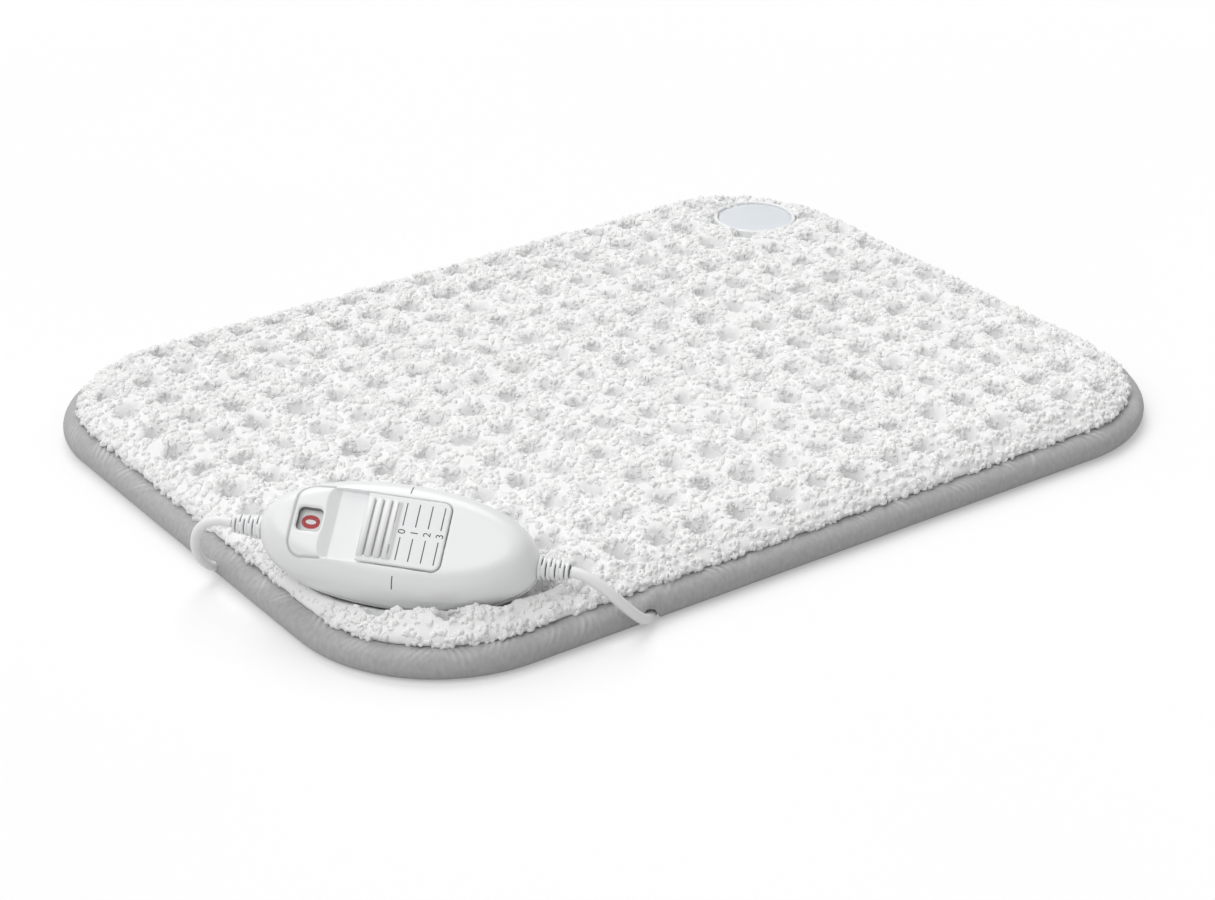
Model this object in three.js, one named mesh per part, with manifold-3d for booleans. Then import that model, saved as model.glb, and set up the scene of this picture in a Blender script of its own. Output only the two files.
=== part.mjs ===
// Heating pad with a fleece top, a bound edge and an in-line slide-switch controller.
// Millimetres, +Z up, origin on the floor under the middle of the pad, X along the pad's long side.

import * as THREE from 'three';
import { mergeVertices } from 'three/addons/utils/BufferGeometryUtils.js';
import Module from 'manifold-3d';

const wasm = await Module();
wasm.setup();

// Clearances
const GAP = 0.3;
const CUT_CLEARANCE = 0.35;

// Pad outline and bound edge
const PAD_LENGTH = 440;
const PAD_WIDTH = 330;
const PAD_CORNER_RADIUS = 68;
const BINDING_HEIGHT = 12;
const BINDING_DEPTH = 13;
const BINDING_CLOTH = 0.8;
const BINDING_ROUND = 2.6;
const CORNER_STEPS = 7;
const FLANGE_LAP = 0.6;

// Pad layers, at their free thickness and where they are pressed over the stowed lead
const BACKING_THICKNESS = 0.8;
const LOWER_FELT_THICKNESS = 4;
const UPPER_FELT_THICKNESS = 3;
const FELT_PRESSED = 0.8;
const FELT_AT_RIM = 1.6;
const CARRIER_THICKNESS = 0.5;
const FELT_INSET = 15;
const CARRIER_INSET = 24;
const RIM_BLEND = 20;
const RIM_FLAT = 2.7;
const TRIM_OVERHANG = 5;
const TUCK_MARGIN = 3;
const TUCK_RAMP_X = 56;
const TUCK_BACK_MARGIN = 24;
const FRONT_STEP = 18;
const ROW_PITCH = 30;
const RIGHT_STEP = 40;
const RIGHT_MARGIN = 26;

// Fleece pile with its lattice of dimples
const PILE_HEIGHT = 22.5;
const PILE_HEIGHT_RAISED = 25;
const DIMPLE_PITCH_X = 20.7;
const DIMPLE_PITCH_Y = 23.3;
const DIMPLE_DEPTH = 6;
const DIMPLE_DEPTH_RAISED = 3;
const PILE_EDGE_ROLL = 15;

// Heating wire and its safety cut-outs
const WIRE_DIAMETER = 1.2;
const WIRE_CLEARANCE = 0.4;
const WIRE_RUN_MARGIN = 48;
const WIRE_SIDE_MARGIN = 28;
const WIRE_CORNER = 14;
const WIRE_TURN_LIMIT = 20;
const WIRE_PORT_SPACING = 6;
const WIRE_SPACE = WIRE_DIAMETER + 2 * WIRE_CLEARANCE;
const CUTOUT_FROM_TURN = 24;
const CUTOUT_LENGTH = 14;
const CUTOUT_WIDTH = 7;
const CUTOUT_THICKNESS = WIRE_SPACE - 2 * GAP;

// Round badge
const BADGE_DIAMETER = 42;
const BADGE_RIM_WIDTH = 2;
const BADGE_SEAT = 16.2;
const BADGE_RIM_HEIGHT = 5;
const BADGE_INLAY_HEIGHT = 4.4;
const BADGE_EDGE_X = 46.8;
const BADGE_EDGE_Y = 53.9;

// Controller pose on the pad, from its near left corner
const CONTROLLER_FROM_SIDE = 44.8;
const CONTROLLER_FROM_FRONT = 61.9;
const CONTROLLER_HEIGHT = 34.5;
const CONTROLLER_YAW = -46.8;
const CONTROLLER_PITCH = 3;
const CONTROLLER_ROLL = 38;

// Controller casing: leaf-shaped outline, deep top shell over a shallow tray
const CASING_LENGTH = 115;
const CASING_WIDTH = 51;
const CASING_ROUNDNESS = 2.1;
const CASING_FACE = 15;
const CASING_PARTING = -3;
const CASING_FOOT = -15;
const CASING_SHOULDER = 13;
const CASING_WALL = 2.2;
const FACE_WALL = 4;
const OUTLINE_STEPS = 40;

// Switch well, slider and window, measured along the casing from its middle
const WINDOW_FROM_END = 22.7;
const WELL_FROM_WINDOW = 5.4;
const WELL_PLAY = 0.5;
const SLIDER_LENGTH = 34.2;
const PANEL_WIDTH = 30;
const WELL_DEPTH = 2.4;
const SLIDER_PROUD = 0.4;
const SLIDER_STEP = 5.2;
const SLIDER_SETTINGS = 3;
const SLIDER_TRAVEL = SLIDER_STEP * SLIDER_SETTINGS;
const RIB_COUNT = 4;
const RIB_PITCH = 3.45;
const RIB_WIDTH = 2.7;
const RIB_HEIGHT = 0.7;
const STEM_FROM_EDGE = 16.1;
const STEM_LENGTH = 3;
const STEM_WIDTH = 12;
const CARRIAGE_LENGTH = 18;
const CARRIAGE_WIDTH = 16;
const CARRIAGE_THICKNESS = 2;
const HOOK_REACH = 0.9;
const HOOK_HEIGHT = 0.9;
const WINDOW_LENGTH = 10;
const WINDOW_WIDTH = 10.4;
const PANE_LIP = 1.4;
const PANE_THICKNESS = 1;
const PANE_UNDER_FACE = 2.2;
const PLATE_LENGTH = 11;
const PLATE_WIDTH = 12;
const PLATE_THICKNESS = 1;

// Circuit board and what it carries
const BOARD_FROM_END = 19.5;
const BOARD_WIDTH = 29;
const BOARD_TOP = 4.8;
const BOARD_THICKNESS = 1.6;
const BOSS_FROM_BOARD_END = 5;
const BOSS_FROM_BOARD_SIDE = 4.5;
const BOSS_DIAMETER = 8;
const TERMINAL_FROM_END = 2.5;
const CHIP_FROM_END = 10.5;
const TRIAC_FROM_END = 17;
const SCREW_DIAMETER = 2.8;
const SCREW_HEAD_DIAMETER = 5.6;
const SCREW_HEAD_HEIGHT = 2;
const SCREW_HEAD_DEPTH = 7;
const SCREW_TIP_BELOW_CEILING = 1.4;

// Cord glands at the casing's two ends
const GLAND_AXIS_Z = -1.2;
const GLAND_REACH = 12;
const GLAND_ROOT_DIAMETER = 10;
const GLAND_TIP_DIAMETER = 7.6;
const GLAND_COLLAR_DIAMETER = 13;
const GLAND_COLLAR_LENGTH = 2;
const GLAND_RIBS = 5;
const GLAND_SLOT_DEPTH = 1.1;
const GLAND_STUB_DIAMETER = 5;
const GLAND_STUB_DEPTH = 15.5;
const CLAMP_FROM_END = 11.5;
const CLAMP_LENGTH = 5;
const CLAMP_WIDTH = 16;
const CLAMP_BAR = 2.4;

// Leads
const PAD_LEAD_DIAMETER = 4;
const MAINS_LEAD_DIAMETER = 4.6;
const LEAD_SIDES = 8;
const ANCHOR_LENGTH = 16;
const ANCHOR_WIDTH = 12;
const ANCHOR_HEIGHT = 4.4;

// Stowed coil of the mains lead under the pad
const COIL_FROM_SIDE = 175;
const COIL_FROM_FRONT = 120;
const COIL_PITCH = 5.2;
const COIL_INNER_RADIUS = 19.7;
const COIL_TURNS_IN = 4.3;
const COIL_TURNS_OUT = 4.315;
const COIL_START_ANGLE = -41.5;
const COIL_STEPS_PER_TURN = 24;
const COIL_SIDES = 6;
const COIL_LEAST_GAP = 0.4;
const TIE_THICKNESS = 0.8;
const TIE_WIDTH = 8;
const TIE_ANGLE = 200;

// Plug
const PLUG_WIDTH = 35.3;
const PLUG_NECK_WIDTH = 15;
const PLUG_THICKNESS = 13.7;
const PLUG_LENGTH = 36;
const PLUG_PIN_DIAMETER = 4;
const PLUG_PIN_LENGTH = 19;
const PLUG_PIN_SPACING = 18.6;
const BOOT_LENGTH = 22;
const PLUG_OFFSET = 1;
const BOOT_ROOT_DIAMETER = 10;
const BOOT_TIP_DIAMETER = 6.6;
const TAIL_LENGTH = 30;

// Values that follow from the sizes above
const CORNER = new THREE.Vector3(-PAD_LENGTH / 2, -PAD_WIDTH / 2, 0);
const COIL_AT = new THREE.Vector2(CORNER.x + COIL_FROM_SIDE, CORNER.y + COIL_FROM_FRONT);
const WINDOW_AT = WINDOW_FROM_END - CASING_LENGTH / 2;
const WELL_FROM = WINDOW_AT + WELL_FROM_WINDOW;
const SLIDER_FROM = WELL_FROM + SLIDER_TRAVEL + WELL_PLAY;
const SLIDER_TO = SLIDER_FROM + SLIDER_LENGTH;
const STEM_FROM = SLIDER_FROM + STEM_FROM_EDGE;
const BOARD_LENGTH = CASING_LENGTH - 2 * BOARD_FROM_END;
const BOSS_X = BOARD_LENGTH / 2 - BOSS_FROM_BOARD_END;
const BOSS_Y = BOARD_WIDTH / 2 - BOSS_FROM_BOARD_SIDE;
const GLAND_END_X = CASING_LENGTH / 2 + GLAND_REACH;
const GLAND_STUB_TO = CASING_LENGTH / 2 - GLAND_STUB_DEPTH;
const CLAMP_X = CASING_LENGTH / 2 - CLAMP_FROM_END;
const COIL_LOW_Z = TIE_THICKNESS + GAP + MAINS_LEAD_DIAMETER / 2;
const COIL_HIGH_Z = COIL_LOW_Z + COIL_PITCH;
const PLUG_AXIS_Z = PLUG_THICKNESS / 2 + GAP;
const TUCK_HEIGHT = PLUG_THICKNESS + 2 * GAP + 0.1;
const PILE_INSET = BINDING_DEPTH + GAP;
const CEILING = CASING_FACE - FACE_WALL;
const WELL_FLOOR = CASING_FACE - WELL_DEPTH;
const BOARD_FOOT = BOARD_TOP - BOARD_THICKNESS;
const FLOOR_INSIDE = CASING_FOOT + CASING_WALL;
const HALF_TRACK = PANEL_WIDTH / 2;
const COIL_OUTER_RADIUS = COIL_INNER_RADIUS + COIL_TURNS_IN * COIL_PITCH;

const degrees = THREE.MathUtils.degToRad;
const mix = THREE.MathUtils.lerp;

// Geometry helpers

function geometryOf(positions, triangles) {
  const geometry = new THREE.BufferGeometry();
  geometry.setAttribute('position', new THREE.Float32BufferAttribute(positions, 3));
  geometry.setIndex(triangles);
  return geometry;
}

function signedVolume(geometry) {
  const p = geometry.attributes.position;
  const index = geometry.index.array;
  const a = new THREE.Vector3();
  const b = new THREE.Vector3();
  const c = new THREE.Vector3();
  let volume = 0;
  for (let i = 0; i < index.length; i += 3) {
    a.fromBufferAttribute(p, index[i]);
    b.fromBufferAttribute(p, index[i + 1]);
    c.fromBufferAttribute(p, index[i + 2]);
    volume += a.dot(b.cross(c)) / 6;
  }
  return volume;
}

// Merges the shared vertices and turns the faces outwards.
function closed(geometry) {
  const bare = geometry.clone();
  bare.deleteAttribute('normal');
  bare.deleteAttribute('uv');
  const merged = mergeVertices(bare, 1e-4);
  if (signedVolume(merged) < 0) {
    const index = merged.index.array;
    for (let i = 0; i < index.length; i += 3) {
      [index[i], index[i + 1]] = [index[i + 1], index[i]];
    }
  }
  return merged;
}

function solid(geometry) {
  const whole = closed(geometry);
  const mesh = new wasm.Mesh({
    numProp: 3,
    vertProperties: new Float32Array(whole.attributes.position.array),
    triVerts: new Uint32Array(whole.index.array),
  });
  return new wasm.Manifold(mesh);
}

function fromSolid(manifold) {
  const mesh = manifold.getMesh();
  return geometryOf(Array.from(mesh.vertProperties), Array.from(mesh.triVerts));
}

function box(x0, x1, y0, y1, z0, z1) {
  const geometry = new THREE.BoxGeometry(x1 - x0, y1 - y0, z1 - z0);
  return geometry.translate((x0 + x1) / 2, (y0 + y1) / 2, (z0 + z1) / 2);
}

function extruded(shape, z0, z1) {
  const options = { depth: z1 - z0, bevelEnabled: false, curveSegments: 6 };
  return new THREE.ExtrudeGeometry(shape, options).translate(0, 0, z0);
}

function shapeOf(points) {
  return new THREE.Shape(points.map(([x, y]) => new THREE.Vector2(x, y)));
}

function post(x, y, diameter, z0, z1, sides = 14) {
  const geometry = new THREE.CylinderGeometry(diameter / 2, diameter / 2, z1 - z0, sides);
  return geometry.rotateX(Math.PI / 2).translate(x, y, (z0 + z1) / 2);
}

// Turned piece about the X axis from (x, radius) pairs.
function turnedX(profile, sides) {
  const points = profile.map(([x, r]) => new THREE.Vector2(r, x));
  return new THREE.LatheGeometry(points, sides).rotateZ(-Math.PI / 2);
}

// A path whose steps fall on its own points.
class Route extends THREE.Curve {
  constructor(points) {
    super();
    this.points = points;
  }

  getPoint(t) {
    const last = this.points.length - 1;
    const i = Math.min(Math.floor(t * last), last - 1);
    return this.points[i].clone().lerp(this.points[i + 1], t * last - i);
  }

  getUtoTmapping(u) {
    return u;
  }
}

function tube(points, diameter, sides) {
  const section = [];
  for (let k = 0; k < sides; k++) {
    const turn = (2 * Math.PI * (k + 0.5)) / sides;
    section.push([(diameter / 2) * Math.cos(turn), (diameter / 2) * Math.sin(turn)]);
  }
  const options = { steps: points.length - 1, bevelEnabled: false, extrudePath: new Route(points) };
  return new THREE.ExtrudeGeometry(shapeOf(section), options);
}

// Smooth route through hand-chosen points, with a step about every two diameters.
function smoothRoute(corners, step) {
  const curve = new THREE.CatmullRomCurve3(corners.map((p) => new THREE.Vector3(...p)), false, 'centripetal');
  return curve.getSpacedPoints(Math.ceil(curve.getLength() / step));
}

// Closed skin over equal rings of points, with a fan at each end.
function loft(rings) {
  const size = rings[0].length;
  const positions = rings.flat().flatMap((p) => [p.x, p.y, p.z]);
  const triangles = [];
  for (let k = 0; k + 1 < rings.length; k++) {
    for (let i = 0; i < size; i++) {
      const a = k * size + i;
      const b = k * size + ((i + 1) % size);
      triangles.push(a, b, b + size, a, b + size, a + size);
    }
  }
  for (const [ring, start] of [[rings[0], 0], [rings.at(-1), (rings.length - 1) * size]]) {
    const middle = positions.length / 3;
    const centre = ring.reduce((sum, p) => sum.add(p), new THREE.Vector3()).divideScalar(size);
    positions.push(centre.x, centre.y, centre.z);
    for (let i = 0; i < size; i++) {
      const edge = [start + i, start + ((i + 1) % size)];
      triangles.push(middle, ...(start === 0 ? edge.reverse() : edge));
    }
  }
  return geometryOf(positions, triangles);
}

// Pad outline drawn in by a distance, counter-clockwise from the right side.
function padOutline(inset) {
  const radius = PAD_CORNER_RADIUS - inset;
  const cx = PAD_LENGTH / 2 - PAD_CORNER_RADIUS;
  const cy = PAD_WIDTH / 2 - PAD_CORNER_RADIUS;
  const points = [];
  for (const [quarter, sx, sy] of [[0, 1, 1], [1, -1, 1], [2, -1, -1], [3, 1, -1]]) {
    for (let k = 0; k <= CORNER_STEPS; k++) {
      const turn = (quarter + k / CORNER_STEPS) * (Math.PI / 2);
      points.push([sx * cx + radius * Math.cos(turn), sy * cy + radius * Math.sin(turn)]);
    }
  }
  return points;
}

function padPrism(inset, z0, z1) {
  return extruded(shapeOf(padOutline(inset)), z0, z1);
}

function padRing(outerInset, innerInset, z0, z1) {
  const shape = shapeOf(padOutline(outerInset));
  shape.holes.push(new THREE.Path(shapeOf(padOutline(innerInset)).getPoints()));
  return extruded(shape, z0, z1);
}

// Distance from a point inwards to the pad's outline.
function depthInside(x, y) {
  const dx = Math.abs(x) - (PAD_LENGTH / 2 - PAD_CORNER_RADIUS);
  const dy = Math.abs(y) - (PAD_WIDTH / 2 - PAD_CORNER_RADIUS);
  const outside = Math.hypot(Math.max(dx, 0), Math.max(dy, 0));
  return PAD_CORNER_RADIUS - outside - Math.min(Math.max(dx, dy), 0);
}

// Height of each layer of the stack above a base level.
function stack(base, lowerFelt, upperFelt) {
  const backing = [base, base + BACKING_THICKNESS];
  const lower = [backing[1] + GAP, backing[1] + GAP + lowerFelt];
  const carrier = [lower[1] + GAP, lower[1] + GAP + CARRIER_THICKNESS];
  const upper = [carrier[1] + WIRE_SPACE, carrier[1] + WIRE_SPACE + upperFelt];
  const wire = carrier[1] + WIRE_SPACE / 2;
  return { backing, lower, carrier, upper, wire: [wire, wire], pile: [upper[1] + GAP, 0] };
}

const RIM_STACK = stack(BINDING_CLOTH + GAP, FELT_AT_RIM, FELT_AT_RIM);
const FLAT_STACK = stack(0, LOWER_FELT_THICKNESS, UPPER_FELT_THICKNESS);
const RAISED_STACK = stack(TUCK_HEIGHT, FELT_PRESSED, FELT_PRESSED);
const PILE_RIM_TOP = BINDING_HEIGHT - BINDING_CLOTH - GAP;

// Grid lines that all layers share, so that they lie on each other without touching
const EDGE_X = PAD_LENGTH / 2 - PILE_INSET;
const EDGE_Y = PAD_WIDTH / 2 - PILE_INSET;
const PLUG_X = COIL_AT.x + COIL_OUTER_RADIUS + PLUG_OFFSET;
const TUCK_X = [COIL_AT.x - COIL_OUTER_RADIUS - 3 * TUCK_MARGIN, PLUG_X + PLUG_WIDTH / 2 + TUCK_MARGIN];
const TUCK_Y = [
  COIL_AT.y - COIL_OUTER_RADIUS - TUCK_MARGIN,
  COIL_AT.y + TAIL_LENGTH + BOOT_LENGTH + PLUG_LENGTH + PLUG_PIN_LENGTH - TUCK_MARGIN,
];
const TUCK_RAMP_Y = EDGE_Y - RIM_BLEND - TUCK_BACK_MARGIN - TUCK_Y[1];
const X_LINES = [
  -EDGE_X - TRIM_OVERHANG,
  -EDGE_X + RIM_FLAT,
  TUCK_X[0] - TUCK_RAMP_X,
  TUCK_X[0],
  (TUCK_X[0] + TUCK_X[1]) / 2,
  TUCK_X[1],
  TUCK_X[1] + TUCK_RAMP_X,
  EDGE_X - RIM_BLEND - RIGHT_STEP - RIGHT_MARGIN,
  EDGE_X - RIM_BLEND - RIGHT_MARGIN,
  EDGE_X - RIM_FLAT,
  EDGE_X + TRIM_OVERHANG,
];
const Y_LINES = [
  -EDGE_Y - TRIM_OVERHANG,
  -EDGE_Y + RIM_FLAT,
  -EDGE_Y + RIM_BLEND + RIM_FLAT,
  TUCK_Y[0] - FRONT_STEP,
  TUCK_Y[0],
  TUCK_Y[0] + ROW_PITCH,
  TUCK_Y[0] + 2 * ROW_PITCH,
  TUCK_Y[0] + 3 * ROW_PITCH,
  TUCK_Y[0] + 4 * ROW_PITCH,
  TUCK_Y[1],
  TUCK_Y[1] + TUCK_RAMP_Y / 2,
  TUCK_Y[1] + TUCK_RAMP_Y,
  EDGE_Y - RIM_BLEND - RIM_FLAT,
  EDGE_Y - RIM_FLAT,
  EDGE_Y + TRIM_OVERHANG,
];

function ramp(value, [low, high], run) {
  const before = (value - low + run) / run;
  const after = (high + run - value) / run;
  return THREE.MathUtils.clamp(Math.min(before, after), 0, 1);
}

// How far a place is raised over the stowed lead, 0 to 1.
function tuck(x, y) {
  const start = -EDGE_Y + RIM_FLAT;
  const front = THREE.MathUtils.clamp((y - start) / (TUCK_Y[0] - start), 0, 1);
  return ramp(x, TUCK_X, TUCK_RAMP_X) * Math.min(front, ramp(y, TUCK_Y, TUCK_RAMP_Y));
}

function inward(x, y, from, run) {
  return THREE.MathUtils.smoothstep(depthInside(x, y) - PILE_INSET, from, from + run);
}

function layerHeight(layer, side) {
  return (x, y) => {
    const away = inward(x, y, RIM_FLAT, RIM_BLEND - RIM_FLAT);
    const flat = mix(RIM_STACK[layer][side], FLAT_STACK[layer][side], away);
    return flat + tuck(x, y) * (RAISED_STACK[layer][side] - FLAT_STACK[layer][side]);
  };
}

// Height of a layer on the shared grid's triangles, for what lies between two layers.
function gridHeight(layer, side, x, y) {
  const height = layerHeight(layer, side);
  const i = Math.max(0, X_LINES.findLastIndex((line) => line <= x));
  const j = Math.max(0, Y_LINES.findLastIndex((line) => line <= y));
  const [x0, x1] = [X_LINES[i], X_LINES[i + 1]];
  const [y0, y1] = [Y_LINES[j], Y_LINES[j + 1]];
  const u = (x - x0) / (x1 - x0);
  const v = (y - y0) / (y1 - y0);
  const low = height(x0, y0);
  const high = height(x1, y1);
  const third = u > v ? height(x1, y0) : height(x0, y1);
  return low + Math.abs(u - v) * (third - low) + Math.min(u, v) * (high - low);
}

// Closed block between two height fields, each on its own grid over the same rectangle.
function slab(top, bottom) {
  const positions = [];
  const triangles = [];
  const sides = [top, bottom].map((face, layer) => {
    const start = positions.length / 3;
    const columns = face.xs.length;
    const at = (i, j) => start + j * columns + i;
    face.ys.forEach((y) => face.xs.forEach((x) => positions.push(x, y, face.z(x, y))));
    for (let j = 0; j + 1 < face.ys.length; j++) {
      for (let i = 0; i + 1 < columns; i++) {
        const [a, b, c, d] = [at(i, j), at(i + 1, j), at(i + 1, j + 1), at(i, j + 1)];
        if (face.dimple) {
          const m = positions.length / 3;
          const x = (face.xs[i] + face.xs[i + 1]) / 2;
          const y = (face.ys[j] + face.ys[j + 1]) / 2;
          positions.push(x, y, face.dimple(x, y));
          triangles.push(a, b, m, b, c, m, c, d, m, d, a, m);
        } else {
          triangles.push(...(layer === 0 ? [a, b, c, a, c, d] : [a, c, b, a, d, c]));
        }
      }
    }
    const lastI = columns - 1;
    const lastJ = face.ys.length - 1;
    const across = face.xs.map((x, i) => [x, i]);
    const along = face.ys.map((y, j) => [y, j]);
    return [
      across.map(([x, i]) => [x, at(i, 0)]),
      along.map(([y, j]) => [y, at(lastI, j)]),
      across.map(([x, i]) => [-x, at(i, lastJ)]).reverse(),
      along.map(([y, j]) => [-y, at(0, j)]).reverse(),
    ];
  });
  for (let side = 0; side < 4; side++) {
    const [upper, lower] = [sides[0][side], sides[1][side]];
    let i = 0;
    let j = 0;
    while (i + 1 < upper.length || j + 1 < lower.length) {
      const upperNext = i + 1 < upper.length ? upper[i + 1][0] : Infinity;
      const lowerNext = j + 1 < lower.length ? lower[j + 1][0] : Infinity;
      if (lowerNext <= upperNext) {
        triangles.push(lower[j][1], lower[j + 1][1], upper[i][1]);
        j += 1;
      } else {
        triangles.push(lower[j][1], upper[i + 1][1], upper[i][1]);
        i += 1;
      }
    }
  }
  return geometryOf(positions, triangles);
}

function layerSlab(layer) {
  const face = (side) => ({ xs: X_LINES, ys: Y_LINES, z: layerHeight(layer, side) });
  return solid(slab(face(1), face(0)));
}

// Leads: hand-chosen routes from the pad's near left corner, then the coil by its own rule

function fromCorner([x, y, z]) {
  return [CORNER.x + x, CORNER.y + y, z];
}

const PAD_LEAD_ROUTE = [
  [-2.6, 113.4, 37.2],
  [-6.5, 117.5, 37.6],
  [-9.9, 121.2, 36.1],
  [-11.9, 124.6, 32.4],
  [-12.1, 127.7, 27.4],
  [-11.1, 130.6, 21.5],
  [-8.9, 133.1, 15.6],
  [-5.6, 135.0, 10.4],
  [-1.2, 136.4, 6.3],
  [4.0, 137.5, 4.6],
  [10.0, 138.0, 4.3],
  [15.4, 138.0, 4.3],
].map(fromCorner);
const MAINS_LEAD_ROUTE = [
  [93.0, 11.5, 29.9],
  [95.8, 8.2, 29.1],
  [99.2, 4.0, 26.7],
  [102.9, 0.2, 22.8],
  [107.0, -2.2, 17.9],
  [111.3, -3.3, 13.0],
  [115.6, -3.2, 8.6],
  [120.2, -1.5, 5.0],
  [125.4, 2.4, 3.0],
  [131.2, 8.0, 2.4],
  [137.4, 14.8, 2.3],
  [150.0, 28.9, 2.3],
  [165.0, 45.7, 2.3],
  [180.0, 62.5, 2.5],
  [194.0, 78.2, 3.2],
  [201.5, 86.5, 3.4],
  [206.1, 91.7, 3.4],
].map(fromCorner);
const PAD_LEAD_STEP = 6;
const MAINS_LEAD_STEP = 6;

// Radius and height of the coil after so many turns: in on the floor, a climb, and out again.
function coilPoint(turns) {
  const climb = turns - COIL_TURNS_IN;
  const angle = degrees(COIL_START_ANGLE) + turns * 2 * Math.PI;
  const swing = climb < 0 ? -climb : climb < 0.25 ? -climb : climb - 0.5;
  const radius = COIL_INNER_RADIUS + swing * COIL_PITCH;
  const height = mix(COIL_LOW_Z, COIL_HIGH_Z, THREE.MathUtils.clamp(climb / 0.5, 0, 1));
  return new THREE.Vector3(
    COIL_AT.x + radius * Math.cos(angle),
    COIL_AT.y + radius * Math.sin(angle),
    height,
  );
}

function coilPoints() {
  const total = COIL_TURNS_IN + 0.5 + COIL_TURNS_OUT;
  const steps = Math.round(total * COIL_STEPS_PER_TURN);
  return Array.from({ length: steps + 1 }, (_, k) => coilPoint((total * k) / steps));
}

// Least free space between parts of a tube that are more than half a turn apart.
function leastSelfGap(points, diameter) {
  const apart = COIL_STEPS_PER_TURN / 2;
  let least = Infinity;
  for (let i = 0; i < points.length; i++) {
    for (let j = i + apart; j < points.length; j++) {
      least = Math.min(least, points[i].distanceTo(points[j]));
    }
  }
  return least - diameter;
}

const coilRoute = coilPoints();
const coilGap = leastSelfGap(coilRoute, MAINS_LEAD_DIAMETER);
console.log(`coil: least gap to itself ${coilGap.toFixed(2)} mm, needs over ${COIL_LEAST_GAP} mm`);

const padLeadRoute = smoothRoute(PAD_LEAD_ROUTE, PAD_LEAD_STEP);
const mainsLeadRoute = smoothRoute(MAINS_LEAD_ROUTE, MAINS_LEAD_STEP);
const padLeadCutter = solid(tube(padLeadRoute, PAD_LEAD_DIAMETER + 2 * CUT_CLEARANCE, LEAD_SIDES));
const mainsLeadCutter = solid(tube(mainsLeadRoute, MAINS_LEAD_DIAMETER + 2 * CUT_CLEARANCE, LEAD_SIDES));

// Controller casing

// Leaf-shaped outline, larger or smaller by a distance.
function casingOutline(inset, z) {
  const power = 2 / CASING_ROUNDNESS;
  const points = [];
  for (let k = 0; k < OUTLINE_STEPS; k++) {
    const turn = (2 * Math.PI * k) / OUTLINE_STEPS;
    const c = Math.cos(turn);
    const s = Math.sin(turn);
    const x = (CASING_LENGTH / 2 - inset) * Math.sign(c) * Math.abs(c) ** power;
    const y = (CASING_WIDTH / 2 - inset) * Math.sign(s) * Math.abs(s) ** power;
    points.push(new THREE.Vector3(x, y, z));
  }
  return points;
}

// Pebble between a foot and a face, bulging at the parting line.
function pebble(inset, foot, face) {
  const rings = [];
  for (const turn of [-90, -64, -32, 0, 24, 44, 64, 90]) {
    const rise = Math.sin(degrees(turn)) * (turn < 0 ? CASING_PARTING - foot : face - CASING_PARTING);
    const drawn = CASING_SHOULDER * (1 - Math.cos(degrees(turn)));
    rings.push(casingOutline(inset + drawn, CASING_PARTING + rise));
  }
  return solid(loft(rings));
}

const controller = new THREE.Group();
controller.name = 'controller';
controller.position.set(CORNER.x + CONTROLLER_FROM_SIDE, CORNER.y + CONTROLLER_FROM_FRONT, CONTROLLER_HEIGHT);
controller.rotation.set(degrees(CONTROLLER_ROLL), degrees(CONTROLLER_PITCH), degrees(CONTROLLER_YAW), 'ZYX');
controller.updateMatrix();

const casingBody = pebble(0, CASING_FOOT, CASING_FACE);
const casingHollow = pebble(CASING_WALL, FLOOR_INSIDE, CEILING);
const REACH = CASING_LENGTH;
const aboveParting = solid(box(-REACH, REACH, -REACH, REACH, CASING_PARTING + GAP / 2, REACH));
const belowParting = solid(box(-REACH, REACH, -REACH, REACH, -REACH, CASING_PARTING - GAP / 2));
const bossPlaces = [[-1, -1], [1, -1], [1, 1], [-1, 1]].map(([sx, sy]) => [sx * BOSS_X, sy * BOSS_Y]);

// Strain relief: collar inside the wall, ribbed taper outside and the held sheath inside.
function glandProfile(grow) {
  const wallX = CASING_LENGTH / 2 - CASING_WALL;
  const collarFrom = wallX - GLAND_COLLAR_LENGTH - 2;
  const ribFrom = CASING_LENGTH / 2 + 0.5;
  const ribPitch = (GLAND_END_X - ribFrom) / GLAND_RIBS;
  const along = (x) => (x - wallX) / (GLAND_END_X - wallX);
  const radiusAt = (x) => mix(GLAND_ROOT_DIAMETER, GLAND_TIP_DIAMETER, along(x)) / 2;
  const profile = [
    [GLAND_STUB_TO - grow, 0],
    [GLAND_STUB_TO - grow, GLAND_STUB_DIAMETER / 2 + grow],
    [collarFrom - grow, GLAND_STUB_DIAMETER / 2 + grow],
    [collarFrom - grow, GLAND_COLLAR_DIAMETER / 2 + grow],
    [collarFrom + GLAND_COLLAR_LENGTH + grow, GLAND_COLLAR_DIAMETER / 2 + grow],
    [collarFrom + GLAND_COLLAR_LENGTH + grow, GLAND_ROOT_DIAMETER / 2 + grow],
    [ribFrom, GLAND_ROOT_DIAMETER / 2 + grow],
  ];
  for (let k = 0; k < GLAND_RIBS && grow === 0; k++) {
    const from = ribFrom + k * ribPitch;
    const dip = radiusAt(from) - GLAND_SLOT_DEPTH;
    profile.push([from, dip], [from + ribPitch * 0.4, dip]);
    profile.push([from + ribPitch * 0.4, radiusAt(from)], [from + ribPitch, radiusAt(from + ribPitch)]);
  }
  const tip = GLAND_END_X + grow;
  if (grow > 0) {
    profile.push([tip, GLAND_TIP_DIAMETER / 2 + grow]);
  }
  profile.push([tip, 0]);
  return profile;
}

function gland(end, grow = 0) {
  const geometry = turnedX(glandProfile(grow), 12).translate(0, 0, GLAND_AXIS_Z);
  return end > 0 ? geometry : geometry.rotateZ(Math.PI);
}

const glandCutters = [-1, 1].map((end) => solid(gland(end, CUT_CLEARANCE)));

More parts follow.
